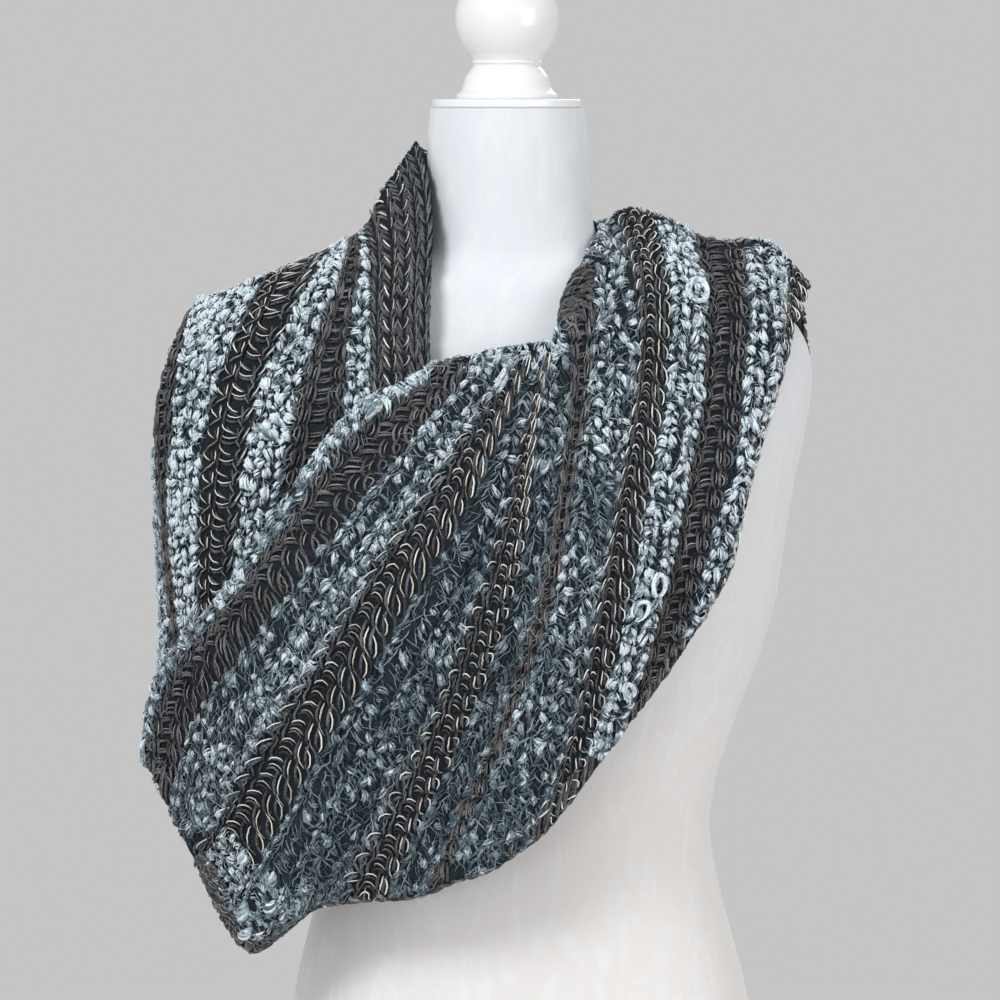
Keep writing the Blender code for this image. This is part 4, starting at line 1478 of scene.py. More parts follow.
@dataclass(frozen=True)
class LacquerFinish:
    """White gloss lacquer with a faint brush-out."""

    name: str = "white_lacquer"
    colour: Colour = (0.86, 0.865, 0.875)
    dull: Colour = (0.80, 0.805, 0.81)

    def material(self) -> Material:
        """Build the material from the place on the piece.

        Returns:
            The material.
        """
        sketch = MaterialSketch(self.name)
        place = sketch.add("TexCoord", out="Object")
        cloudy = sketch.add("TexNoise", {"Vector": place, "Scale": 60.0, "Detail": 3.0})
        rough = sketch.add("MapRange", {"Value": cloudy, "To Min": 0.16, "To Max": 0.3})
        return sketch.finish(sketch.mix(cloudy, self.colour, self.dull), rough,
                             (0.08, 0.2, cloudy), Coat_Weight=0.5, Coat_Roughness=0.08)


# --- a stretch of the scarf

def clipped(values: Array) -> Array:
    """Hold values between 0 and 1."""
    return np.clip(values, 0, 1)


def strewn(angle: Array, length: Array, bend: Array) -> tuple[Array, Array]:
    """Draw loose fibres.

    Args:
        angle: Slopes in radians, fibres by 1.
        length: Lengths, fibres by 1.
        bend: How far their points stray aside, fibres by points.

    Returns:
        Millimetres across and along.
    """
    run = np.linspace(-0.5, 0.5, bend.shape[1]) * length
    return np.sin(angle) * run + bend, np.cos(angle) * run


@dataclass
class Stretch:
    """One stretch of the loop: its surface, how it is striped, and the cut it shows."""

    node: str
    surface: ClothSurface
    stripes: Sequence[Stripe]
    materials: dict[str, Material]
    seed: int
    flat: tuple[float, float]
    upright: float = 0.0
    turned: bool = False
    cover: BVHTree | None = None
    hem: float = 0.0
    nubs: Sequence[Nub] = ()
    reverses: Sequence[Patch] = ()
    fluffs: Sequence[Patch] = ()
    bundles: dict[str, list[Strands]] = field(default_factory=dict)

    def __post_init__(self) -> None:
        """Name the stretch after its node and start its own chance."""
        self.name = self.node + "_cloth"
        self.random = np.random.default_rng(self.seed)
        self.last_row = self.surface.rows - self.hem

    def bundle(self, yarn: str) -> Strands:
        """Find a yarn's open bundle, a new one where the last is full.

        Args:
            yarn: The yarn's name.

        Returns:
            The bundle.
        """
        opened = self.bundles.setdefault(yarn, [])
        if not opened or opened[-1].triangles() > BUNDLE_TRIANGLES:
            opened.append(Strands(f"{self.name}_{yarn}_{len(opened) + 1}"))
        return opened[-1]

    # -- where things lie

    def across(self, rows: Array, values: Sequence[float]) -> Array:
        """Find a stripe's value at rows from those at its three stations."""
        whole = float(self.surface.rows)
        return np.interp(rows, (0.0, whole * NEXT_STATION, whole), values)

    def borders(self, stripe: Stripe, rows: Array) -> tuple[Array, Array]:
        """Find a stripe's left and right border columns at rows."""
        return (self.surface.column_of(self.across(rows, stripe.left)),
                self.surface.column_of(self.across(rows, stripe.right)))

    def course(self, stripe: Stripe, pitch: float, offset: float,
               spill: int = 0) -> tuple[Stitches, Array]:
        """Space stitches evenly down the middle of a stripe.

        Args:
            stripe: The stripe.
            pitch: Millimetres from one stitch to the next.
            offset: The first one's place, as a share of the pitch.
            spill: How many more lie past either end.

        Returns:
            The stitches, and the stripe's width at each.
        """
        rows = np.linspace(0, self.last_row, 160)
        left, right = self.borders(stripe, rows)
        run = run_along(self.surface.at(rows, left + (right - left) * 0.5))
        count = max(int(run[-1] / pitch), 1)
        spots = (np.arange(-spill, count + spill) + offset) * run[-1] / count
        rows_at = np.interp(spots, run, rows)
        first, last = (run[9] - run[0]) / rows[9], (run[-1] - run[-10]) / rows[9]
        rows_at += np.minimum(spots, 0) / first + np.maximum(spots - run[-1], 0) / last
        left, right = self.borders(stripe, rows_at)
        middles = Stitches(self.surface, rows_at, (left + right) / 2, self.upright)
        return middles, middles.square_mm * (right - left) / np.cos(middles.swing)

    def spaced(self, rows: Array, columns: Array, pitch: float) -> tuple[Array, Array, float]:
        """Space places evenly along a line on the surface.

        Args:
            rows: The line's rows.
            columns: Its columns.
            pitch: About the millimetres between two places.

        Returns:
            The places' rows and columns, and the millimetres between them.
        """
        run = run_along(self.surface.at(rows, columns))
        count = max(int(run[-1] / pitch), 1)
        spots = (np.arange(count) + 0.5) * run[-1] / count
        return np.interp(spots, run, rows), np.interp(spots, run, columns), run[-1] / count

    def shown(self, stitches: Stitches) -> Array:
        """Find which stitches aren't wholly hidden behind the covering stretch.

        Args:
            stitches: The stitches.

        Returns:
            True where one isn't.
        """
        if self.cover is None:
            return np.ones(len(stitches.rows), bool)
        tilts = [Vector(tilt) for tilt in ((0, 0, 0), (0.9, 0, 0), (-0.9, 0, 0), (0, 0, 1.0),
                                           (0, 0, -0.9))]
        seen = []
        middles = self.surface.at(stitches.rows, stitches.columns)
        for middle, way in zip(middles, stitches.walls()):
            start, way = Vector(middle), Vector(way)
            seen.append(any(self.cover.ray_cast(start + way * 3, (way + tilt).normalized(),
                                                90.0)[0] is None for tilt in tilts))
        return np.array(seen, bool)

    def tone(self, places: Array) -> Array:
        """Draw a lightness of about 0.5 for each place, in patches and by chance.

        Args:
            places: Points in millimetres.

        Returns:
            The lightnesses.
        """
        waves = (np.sin(places[:, 0] / 17.0 + places[:, 2] / 23.0)
                 + np.sin(places[:, 2] / 13.0 - places[:, 0] / 31.0 + 1.7)
                 + np.sin(places[:, 1] / 19.0 + places[:, 2] / 41.0 + 0.6))
        chance = self.random.normal(0, 0.07, len(places))
        return np.clip(0.5 + 0.07 * waves + chance, 0.02, 0.98)

    def mask(self, rows: Array, columns: Array, *knits: Knit) -> Array:
        """Mark the stripes that are worked in some ways.

        Args:
            rows: The points' rows.
            columns: Their columns.
            knits: The ways.

        Returns:
            1 inside and 0 outside, softly between.
        """
        marked = np.zeros_like(rows)
        for stripe in self.stripes:
            if stripe.knit in knits:
                left, right = self.borders(stripe, rows)
                inside = np.minimum(columns - left, right - columns)
                marked = np.maximum(marked, clipped(inside / 0.3 + 0.5))
        return marked

    def reversed_at(self, stitches: Stitches, ladder: bool = False) -> Array:
        """Find which stitches lie where the dark reverse shows.

        Args:
            stitches: The stitches.
            ladder: Whether they are a ladder's, which run on a little.

        Returns:
            True where one does.
        """
        rows, lines = stitches.rows, (stitches.columns - self.surface.rim) / ACROSS_STEPS
        inside = np.zeros(len(rows), bool)
        for reverse in self.reverses:
            first_row = reverse.rows[0] + (reverse.overlap if ladder else 0.0)
            inside |= ((lines > reverse.lines[0]) & (lines < reverse.lines[1])
                       & (rows > first_row) & (rows < reverse.rows[1]))
        return inside

    # -- the ground

    def build_ground(self) -> Object:
        """Make the thin dark cloth that the yarns lie on, a closed shell.

        Returns:
            The piece.
        """
        surface, name = self.surface, f"{self.name}_ground"
        rows, columns = surface.rows * GROUND_STEPS, surface.columns * GROUND_STEPS
        mesh = bmesh.new()
        bmesh.ops.create_grid(mesh, x_segments=columns, y_segments=rows, size=1.0)
        spots = np.array([tuple(vertex.co) for vertex in mesh.verts])
        column = (spots[:, 0] + 1) / 2 * surface.columns
        row = (1 - spots[:, 1]) / 2 * surface.rows
        ladders = self.mask(row, column, Knit.IVORY, Knit.LEFT_IVORY, Knit.BROWN)
        places = surface.at(row, column, -0.2 - 0.9 * ladders) * MM
        for vertex, place in zip(mesh.verts, places):
            vertex.co = place
        mesh.normal_update()
        mesh.verts.ensure_lookup_table()
        middle = mesh.faces[:][rows // 2 * columns + columns // 2]
        wall = surface.walls[surface.walls.shape[0] // 2, surface.walls.shape[1] // 2]
        if middle.normal.dot(Vector(wall)) < 0:
            bmesh.ops.reverse_faces(mesh, faces=mesh.faces)
        layer = mesh.loops.layers.uv.new("knit")
        for face in mesh.faces:
            for loop in face.loops:
                index = loop.vert.index
                loop[layer].uv = (column[index] * LINE_PITCH / ACROSS_STEPS / PERIOD,
                                  row[index] * 0.9)
        data = settled(name, mesh)
        mark(data, "tufted", self.mask(row, column, Knit.TUFTED))
        mark(data, "brown", self.mask(row, column, Knit.BROWN, Knit.STAND_BROWN))
        ground = dress(name, data, self.materials["ground"])
        data.materials.append(self.materials["reverse"])
        shell = ground.modifiers.new("cloth thickness", "SOLIDIFY")
        shell.thickness = GROUND_THICKNESS * MM
        shell.offset = 0.0
        shell.use_even_offset = False
        shell.material_offset = 1
        return ground

    # -- tufts

    def work_tufts(self, stripe: Stripe) -> None:
        """Fill a stripe with pale tufts, the navy yarn between them and loose fibres.

        Args:
            stripe: A tufted stripe.
        """
        for kind in TUFTS:
            middles, widths = self.course(stripe, TUFT_PITCH, kind.offset, spill=3)
            chance = self.random.uniform(0.25, 0.75, len(widths))
            counts = np.floor(widths / WALE_PITCH + chance).astype(int)
            course = np.repeat(np.arange(len(widths)), counts)
            wale = np.arange(len(course)) - np.repeat(np.cumsum(counts) - counts, counts)
            left, right = self.borders(stripe, middles.rows)
            part = (wale + 0.5) / np.maximum(counts[course], 1) - 0.5
            aside = (right - left)[course] * part
            middles = middles.only(course)
            stitches = replace(middles, rows=middles.rows + middles.course_slip(aside),
                               columns=middles.columns + aside, turned=self.turned)
            rows = stitches.rows
            light = self.across(rows, stripe.light)
            keep = self.shown(stitches) & ~self.reversed_at(stitches)
            keep &= (stitches.across_mm > TIGHTEST) & (rows > 0) & (rows < self.last_row)
            if not keep.any():
                continue
            stitches, wale = stitches.only(keep), wale[keep]
            room = (widths / np.maximum(counts, 1) / WALE_PITCH)[course][keep]
            lean = np.where(wale % 2 == 0, -1.0, 1.0) * (-1.0 if self.turned else 1.0)
            late = (wale // 2 % 2) * 0.5 * TUFT_PITCH
            self.lay_tufts(stitches, kind, np.clip(room, 0.5, 1.15), lean, late, light[keep])
            self.lay_legs(stitches, np.clip(room, 0.5, 1.1), lean, late)

    def lay_tufts(self, stitches: Stitches, kind: Tuft, *sizes: Array) -> None:
        """Lay a tuft at each stitch, as a few fibre locks side by side.

        Args:
            stitches: Where they lie.
            kind: Their usual sizes.
            sizes: Their room across, 1 in flat cloth; which way they slope, 1 or -1; how
                far along they are shifted; and how much paler than usual they are.
        """
        draw, shape = self.random, (len(stitches.rows), 1)
        room, lean, late, light = (size[:, None] for size in sizes)
        walls = stitches.walls()
        middles = stitches.lay(np.zeros(shape), np.zeros(shape), 2.0)[:, 0]
        base = self.tone(middles)[:, None] + light + kind.light
        keep = (draw.random(shape) < kind.chance + light)[:, 0]
        length = draw.uniform(*kind.length, shape)
        girth = draw.uniform(*kind.girth, shape) * room ** 0.5
        girth = girth * (1 + PALE_GIRTH * np.clip(light, 0, None))
        crosswise = draw.random(shape) < CROSSWISE_SHARE
        angle = np.radians(lean * 25 + draw.normal(0, 13, shape))
        angle = angle + crosswise * draw.uniform(0.8, 1.5, shape)
        bow = draw.normal(0, 0.13, shape)
        aside = draw.normal(0, 0.7, shape) * room
        along = draw.normal(0, 1.0, shape) + late
        belly = np.where(draw.random(shape) < 0.5, TUFT_BELLY, TUFT_BELLY[::-1])
        lift = draw.uniform(0.4, 1.5, shape)
        for part in range(kind.locks):
            turn = np.radians(18 + 144 * part / max(kind.locks - 1, 1))
            turn = turn + draw.normal(0, 0.25, shape) + 0.5 * TUFT_STEPS
            splay = angle + draw.normal(0, 0.17, shape)
            run = TUFT_STEPS * (length * draw.uniform(0.65, 1.1, shape))
            off = girth * 0.85 * np.cos(turn) * belly + bow * length * (1 - (2 * TUFT_STEPS) ** 2)
            across = np.sin(splay) * run + np.cos(splay) * off
            down = np.cos(splay) * run - np.sin(splay) * off
            height = 0.3 + (lift + girth * (0.2 + 0.7 * np.sin(turn))) * belly
            slip = draw.normal(0, 0.6, shape)
            lines = stitches.lay(aside + across, along + down + slip, height)
            radii = girth * kind.lock * (0.3 + 0.7 * belly) * draw.uniform(0.7, 1.25, shape)
            radii = radii * draw.uniform(0.85, 1.15, belly.shape) * (0.5, 1.0, 1.0, 0.5)
            # Painted light: a painted highlight on the top locks of each tuft and painted shade on
            # its side locks.
            painted_crest_shading = 0.12 * math.sin(math.pi * (part + 0.5) / kind.locks) - 0.08
            shade = base + painted_crest_shading + draw.normal(0, 0.17, shape)
            # Painted shade at both ends of each lock, where the tuft dips into the knit; the middle
            # is painted a little lighter.
            shade = np.clip(shade * (0.75, 1.05, 1.0, 0.78), 0.03, 1.0)
            tint = clipped(draw.normal(0.2, 0.25, shape))
            self.bundle("slub").add(lines[keep], radii[keep], walls[keep], shade[keep], tint[keep])
        self.lay_hairs(stitches, kind.hairs, angle, base)

    def lay_hairs(self, stitches: Stitches, chance: float, angle: Array, base: Array) -> None:
        """Lay fine loose fibres that stand off the tufts.

        Args:
            stitches: Where the tufts lie.
            chance: The share of them with one.
            angle: The tufts' slopes in radians.
            base: Their lightness.
        """
        draw = self.random
        chosen = np.flatnonzero(draw.random(len(stitches.rows)) < chance)
        if len(chosen) == 0:
            return
        loose, shape, points = stitches.only(chosen), (len(chosen), 1), (len(chosen), 3)
        angle = angle[chosen] + draw.normal(0, 0.7, shape)
        across, down = strewn(angle, draw.uniform(5.0, 11.0, shape), draw.normal(0, 1.2, points))
        down = down + draw.normal(0, 0.8, points)
        height = draw.uniform(2.2, 4.8, shape) * (0.5, 1.0, 0.8)
        self.bundle("slub").add(loose.lay(across, down, height),
                                draw.uniform(0.13, 0.24, shape) * (0.7, 1.0, 0.6),
                                loose.walls(), np.clip(base[chosen] + 0.12, 0.1, 0.95), 0.1)

    def lay_legs(self, stitches: Stitches, *sizes: Array) -> None:
        """Lay a thick and a thin navy leg at each stitch, which show between the tufts.

        Args:
            stitches: Where the tufts lie.
            sizes: Their room, slope and shift, as for lay_tufts.
        """
        draw, count = self.random, len(stitches.rows)
        room, lean, late = (size[:, None] for size in sizes)
        for side, girth, usual in ((2.6, (0.75, 1.25), 0.42), (-1.6, (0.35, 0.65), 0.78)):
            angle = np.radians(lean * 30 + draw.normal(0, 15, (count, 1)))
            across, down = strewn(angle, draw.uniform(9.0, 14.0, (count, 1)),
                                  draw.normal(0, 1.0, (count, 4)) * (0.3, 1.0, 1.0, 0.3))
            aside = (lean * side + draw.normal(0, 0.8, (count, 1))) * room
            height = draw.uniform(0, 0.7, (count, 1)) + (0.2, 1.4, 1.4, 0.2)
            lines = stitches.lay(across * room + aside, down + (late + TUFT_PITCH * 0.25), height)
            radii = draw.uniform(*girth, (count, 1)) * (0.7, 1.0, 1.0, 0.7)
            shade = clipped(draw.normal(usual, 0.22, (count, 1)))
            self.bundle("navy").add(lines, radii, stitches.walls(), shade,
                                    clipped(draw.normal(0.2, 0.3, (count, 1))))

    # -- strokes

    def work_strokes(self, stripe: Stripe) -> None:
        """Work a stripe whose every stitch has the same strokes.

        Args:
            stripe: The stripe.
        """
        strokes, thread, pitch = KNIT_STROKES[stripe.knit]
        stitches, widths = self.course(stripe, pitch, 0.5)
        keep = self.shown(stitches) & ~self.reversed_at(stitches, ladder=True)
        if not keep.any():
            return
        brown = stripe.knit is Knit.BROWN
        stitches = stitches.only(keep, turned=self.turned and brown)
        widths = widths[keep][:, None]
        for stroke in strokes:
            self.lay_stroke(stitches, widths, stroke, pitch, thread)
        if brown:
            self.lay_wisps(stitches, widths)

    def lay_stroke(self, stitches: Stitches, widths: Array, stroke: Stroke, pitch: float,
                   thread: str) -> None:
        """Lay one drawn stroke at every stitch of a stripe.

        Args:
            stitches: The stitches.
            widths: The stripe's width at each.
            stroke: The stroke.
            pitch: Millimetres from one stitch to the next.
            thread: The yarn that stands for thread.
        """
        draw, count = self.random, len(stitches.rows)
        steps, wander = STROKE_POINTS, 0.3
        if stroke.radius / 100 > THICK_STROKE:
            steps, wander = THICK_POINTS, 0.55
        places = zip(stroke.aside, stroke.along, stroke.high)
        points = smoothed([(aside / 100, along / 100, high / 10)
                           for aside, along, high in places], steps).T
        # Painted light along each stroke: a painted highlight where it stands highest and painted
        # shade towards its ends, where it dips into the knit.
        painted_crest_shading = 0.62 + 0.38 * np.sin(np.linspace(0.1, math.pi - 0.1, steps))
        stray = draw.normal(0, wander, (2, count, 1)) + draw.normal(0, 0.10, (2, count, steps))
        stretch = draw.normal(1.0, 0.08, (count, 1))
        height = points[2] + draw.normal(0, 0.2, (count, 1))
        lines = stitches.lay(points[0] * widths + stray[0],
                             points[1] * pitch * stretch + stray[1], height)
        ease = np.clip(widths / LINE_PITCH, 0.3, 1.1) ** 0.2
        taper = np.ones(steps)
        taper[[0, -1]] = 0.6
        taper[[1, -2]] = 0.92
        radii = stroke.radius / 100 * ease * taper * draw.uniform(0.85, 1.15, (count, 1))
        # The stroke's lightness carries that painted highlight and shade.
        shades = clipped(draw.normal(stroke.shade / 100, 0.13, (count, 1)) * painted_crest_shading)
        tints = clipped(draw.normal(0.3, 0.3, (count, 1)))
        keep = (draw.random(count) < stroke.chance) & (stitches.across_mm > TIGHTEST)
        yarn = thread if stroke.yarn == "thread" else stroke.yarn
        self.bundle(yarn).add(lines[keep], radii[keep], stitches.walls()[keep], shades[keep],
                              tints[keep], sides=4)

    def lay_wisps(self, stitches: Stitches, widths: Array) -> None:
        """Lay thin stray wisps of brown over a stripe.

        Args:
            stitches: The stitches.
            widths: The stripe's width at each.
        """
        draw, count = self.random, len(stitches.rows)
        shape = (count, 1)
        for _ in range(3):
            across, down = strewn(draw.normal(0, 0.8, shape), draw.uniform(5.0, 11.0, shape),
                                  draw.normal(0, 0.9, (count, 4)))
            across = across + draw.uniform(-0.5, 0.5, shape) * widths
            down = down + draw.uniform(-7, 7, shape)
            height = draw.uniform(2.0, 3.8, shape) * (0.5, 1, 1, 0.5)
            self.bundle("brown").add(stitches.lay(across, down, height),
                                     draw.uniform(0.16, 0.3, shape), stitches.walls(),
                                     clipped(draw.normal(0.45, 0.15, shape)), 0.3)

    # -- the reverse, fluff and lumps

    def work_reverse(self, reverse: Patch) -> None:
        """Work a patch of the dark reverse in bars, with thin threads between.

        Args:
            reverse: The patch.
        """
        draw, surface, lengthwise = self.random, self.surface, reverse.lengthwise
        low, high = surface.column_of(reverse.lines)
        rows = np.linspace(reverse.rows[0], min(reverse.rows[1], float(surface.rows)), BAR_POINTS)
        columns = np.linspace(low, min(high, float(surface.columns)), BAR_POINTS)

        def line(row: float | None, column: float | None, pitch: float) -> tuple:
            """Space places along the row or the column that is given."""
            return self.spaced(rows if row is None else np.full(BAR_POINTS, row),
                               columns if column is None else np.full(BAR_POINTS, column), pitch)

        starts = (line(rows.mean(), None, BAR_PITCH) if lengthwise
                  else line(None, columns.mean(), BAR_PITCH))
        for row, column in zip(*starts[:2]):
            at_rows, at_columns, length = (line(None, column, BAR_LENGTH) if lengthwise
                                           else line(row, None, BAR_LENGTH))
            stitches = Stitches(surface, at_rows, at_columns)
            count = len(at_rows)
            shift = draw.uniform(-0.2, 0.2) * length
            steps = np.linspace(-0.56, 0.56, 5)
            for yarn, radius, shade, high_at in REVERSE_STRANDS[lengthwise]:
                onward = steps * length + draw.normal(0, 0.5, (count, 1)) + shift
                bend = (draw.normal(0, 0.5, (count, 5)) + draw.choice((-1.0, 1.0), (count, 1))
                        * BAR_PITCH * 0.35 * np.sin(np.pi * (steps + 0.5)))
                drawn = (bend, onward) if lengthwise else (onward, bend)
                lines = stitches.lay(*drawn, high_at * np.array([0.3, 0.9, 1.0, 0.9, 0.3]))
                self.bundle(yarn).add(lines, radius * draw.uniform(0.8, 1.2, (count, 1)),
                                      stitches.walls(),
                                      clipped(draw.normal(shade, 0.15, (count, 1))), 0.4, sides=4)

    def work_fluff(self, fluff: Patch) -> None:
        """Cover a fold with small tufts that lie every way.

        Args:
            fluff: The fold.
        """
        draw = self.random
        rows, columns = (part.ravel() for part in np.meshgrid(
            np.arange(*fluff.rows, FLUFF_STEPS[0]),
            np.arange(*self.surface.column_of(fluff.lines), FLUFF_STEPS[1]), indexing="ij"))
        stitches = Stitches(self.surface, rows, columns, self.upright)
        room = stitches.square_mm * stitches.row_mm * FLUFF_STEPS[0] * FLUFF_STEPS[1]
        chosen = (stitches.across_mm > 1.0) & (draw.random(len(rows)) < room / FLUFF_ROOM)
        count = int(chosen.sum())
        self.lay_tufts(stitches.only(chosen), FLUFF, np.full(count, 0.9),
                       draw.uniform(-3.2, 3.2, count), np.zeros(count),
                       draw.normal(0.04, 0.08, count))

    def work_nub(self, nub: Nub) -> None:
        """Lay a stray lump or loop of slub where the drawing shows it.

        Args:
            nub: The lump.
        """
        row, column = self.surface.nearest(nub.across, nub.height)
        stitches = Stitches(self.surface, np.array([row]), np.array([column]))
        angle, steps, locks = math.radians(nub.lean), 9, 6
        if nub.ring:
            steps, locks = 16, 5
        for lock in range(locks):
            phase = 2 * math.pi * lock / 5
            if nub.ring:
                turns = np.linspace(0.15, 2 * math.pi - 0.35, steps)
                twine = phase + turns * 1.3
                wide = nub.girth * 0.55 * np.cos(twine)
                long_way = np.cos(turns) * (nub.length / 2 + wide)
                short_way = np.sin(turns) * (nub.length * 0.31 + wide)
                height = 3.2 + 1.2 * np.sin(turns / 2) + nub.girth * 0.55 * np.sin(twine)
                radii = nub.girth * 0.55 * np.linspace(0.8, 1.1, steps)
            else:
                part = np.linspace(0, math.pi, steps)
                twine = phase + part * 1.1
                belly = 0.25 + 0.75 * np.sin(part)
                long_way = np.linspace(-0.5, 0.5, steps) * nub.length
                short_way = (np.sin(part) * nub.length * 0.12
                             + nub.girth * 0.6 * np.cos(twine) * belly)
                height = 1.4 + nub.girth * belly * (0.5 + 0.5 * np.sin(twine))
                radii = nub.girth * 0.5 * belly
            aside = np.sin(angle) * long_way + np.cos(angle) * short_way
            along = np.cos(angle) * long_way - np.sin(angle) * short_way
            lines = stitches.lay(aside[None], along[None], height[None])
            shade = clipped(self.random.normal(0.74, 0.16))
            self.bundle("slub").add(lines, radii[None], stitches.walls(), shade, 0.0, sides=5)

    # -- all of it

    def build(self) -> list[Object]:
        """Returns:
            The pieces made.
        """
        for stripe in self.stripes:
            if stripe.knit is Knit.TUFTED:
                self.work_tufts(stripe)
            else:
                self.work_strokes(stripe)
        for work, places in ((self.work_reverse, self.reverses), (self.work_fluff, self.fluffs),
                             (self.work_nub, self.nubs)):
            for place in places:
                work(place)
        ground = self.build_ground()
        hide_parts(self.node)
        yarns = [strands.to_object(self.materials[yarn], "slub_knit")
                 for yarn, opened in self.bundles.items() for strands in opened]
        return [ground] + yarns


# --- the dress form

@dataclass
class DressForm:
    """The velvet torso, its neck plate and its turned finial, with finishes by slot."""

    finishes: dict[str, Material]
    sides: int = 96
    rows: int = 110
    turned_steps: int = 96
    plate_edge: float = 1.4
    ball_steps: int = 40

    def torso_point(self, turn: float, height: float) -> Vector:
        """Find a point on the torso's cover, in millimetres.

        Args:
            turn: Angle round the torso, from the front.
            height: Its height.

        Returns:
            The point.
        """
        places = [Vector(ring[1:]) for ring in TORSO_RINGS]
        heights = [ring[0] for ring in TORSO_RINGS]
        below = max(index for index, level in enumerate(heights[:-1]) if level <= height)
        part = (height - heights[below]) / (heights[below + 1] - heights[below])
        half_width, front, back = on_curve(places, below + part)
        round_neck = min(max((half_width - 60) / 40, 0.0), 1.0)
        power = 1.0 + (2 / SHOULDER_SQUARENESS - 1.0) * round_neck
        side, ahead = math.sin(turn), -math.cos(turn)
        across = half_width * math.copysign(abs(side) ** power, side)
        depth = (front if ahead < 0 else back) * math.copysign(abs(ahead) ** power, ahead)
        if ahead < 0:
            reach = math.hypot(abs(across) - BUST_ACROSS, height - BUST_HEIGHT)
            depth -= BUST_DEPTH * math.exp(-0.5 * (reach / BUST_SPREAD) ** 2)
        point = Matrix.Rotation(-TURN, 3, "Z") @ Vector((across, depth, height))
        point.x += LEAN * (1 - height / NECK_TOP)
        return point

    def piece(self, mesh: bmesh.types.BMesh, name: str, node: str, slot: str = "white_lacquer",
              sharp: float = 40.0) -> Object:
        """Finish one piece of the form.

        Args:
            mesh: Its mesh in the making.
            name: Its name.
            node: The CAD node that it replaces.
            slot: The record's slot.
            sharp: Degrees above which an edge stays sharp.

        Returns:
            The piece.
        """
        bmesh.ops.recalc_face_normals(mesh, faces=mesh.faces)
        data = settled(name, mesh)
        data.set_sharp_from_angle(angle=math.radians(sharp))
        made = dress(name, data, self.finishes[slot])
        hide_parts(node)
        return made

    def build_cover(self) -> Object:
        """Roll a grid into the torso's cover and close its foot and neck.

        Returns:
            The piece.
        """
        mesh = bmesh.new()
        bmesh.ops.create_grid(mesh, x_segments=self.sides, y_segments=self.rows, size=1.0)
        for vertex in mesh.verts:
            turn = math.pi * (vertex.co.x + 1)
            height = NECK_TOP * (vertex.co.y + 1) / 2
            vertex.co = self.torso_point(turn, height) * MM
        bmesh.ops.remove_doubles(mesh, verts=mesh.verts, dist=1e-5)
        rims = [edge for edge in mesh.edges if edge.is_boundary]
        bmesh.ops.holes_fill(mesh, edges=rims, sides=0)
        return self.piece(mesh, "form_cover", "form_torso", "velvet", 50.0)

    def turn_profile(self, profile: Sequence[tuple[float, float]]) -> bmesh.types.BMesh:
        """Turn a half outline about the neck axis.

        Args:
            profile: Radius and height from the bottom up.

        Returns:
            The mesh in the making.
        """
        mesh = bmesh.new()
        corners = [mesh.verts.new((radius * MM, 0, height * MM)) for radius, height in profile]
        for lower, upper in zip(corners, corners[1:]):
            mesh.edges.new((lower, upper))
        bmesh.ops.spin(mesh, geom=mesh.verts[:] + mesh.edges[:], cent=(0, 0, 0),
                       axis=(0, 0, 1), angle=2 * math.pi, steps=self.turned_steps,
                       use_merge=True, dvec=(0, 0, 0))
        bmesh.ops.remove_doubles(mesh, verts=mesh.verts, dist=1e-6)
        return mesh

    def build_plate(self) -> Object:
        """Turn the round plate that caps the neck, with eased edges.

        Returns:
            The piece.
        """
        bottom = NECK_TOP + SEAM_GAP
        top = bottom + PLATE_THICKNESS
        profile = [(0.0, bottom)]
        for centre, first in ((bottom + self.plate_edge, -90), (top - self.plate_edge, 0)):
            for step in range(6):
                angle = math.radians(first + 18 * step)
                profile.append((PLATE_RADIUS + self.plate_edge * (math.cos(angle) - 1),
                                centre + self.plate_edge * math.sin(angle)))
        profile.append((0.0, top))
        return self.piece(self.turn_profile(profile), "neck_plate", "form_neck_plate")

    def build_finial(self) -> Object:
        """Turn the foot and the ball on it.

        Returns:
            The piece.
        """
        start = math.asin(FINIAL_FOOT[-1][0] / BALL_RADIUS)
        foot = [Vector((radius, height, 0)) for radius, height in FINIAL_FOOT]
        profile = [(0.0, FINIAL_FOOT[0][1])]
        profile += [tuple(on_curve(foot, count))[:2]
                    for count in counts_through((3,) * (len(foot) - 1))]
        for step in range(1, self.ball_steps + 1):
            angle = start + (math.pi - start) * step / self.ball_steps
            radius = max(BALL_RADIUS * math.sin(angle), 0.0)
            profile.append((radius, BALL_CENTRE - BALL_RADIUS * math.cos(angle)))
        return self.piece(self.turn_profile(profile), "finial", "form_finial")


# --- the studio

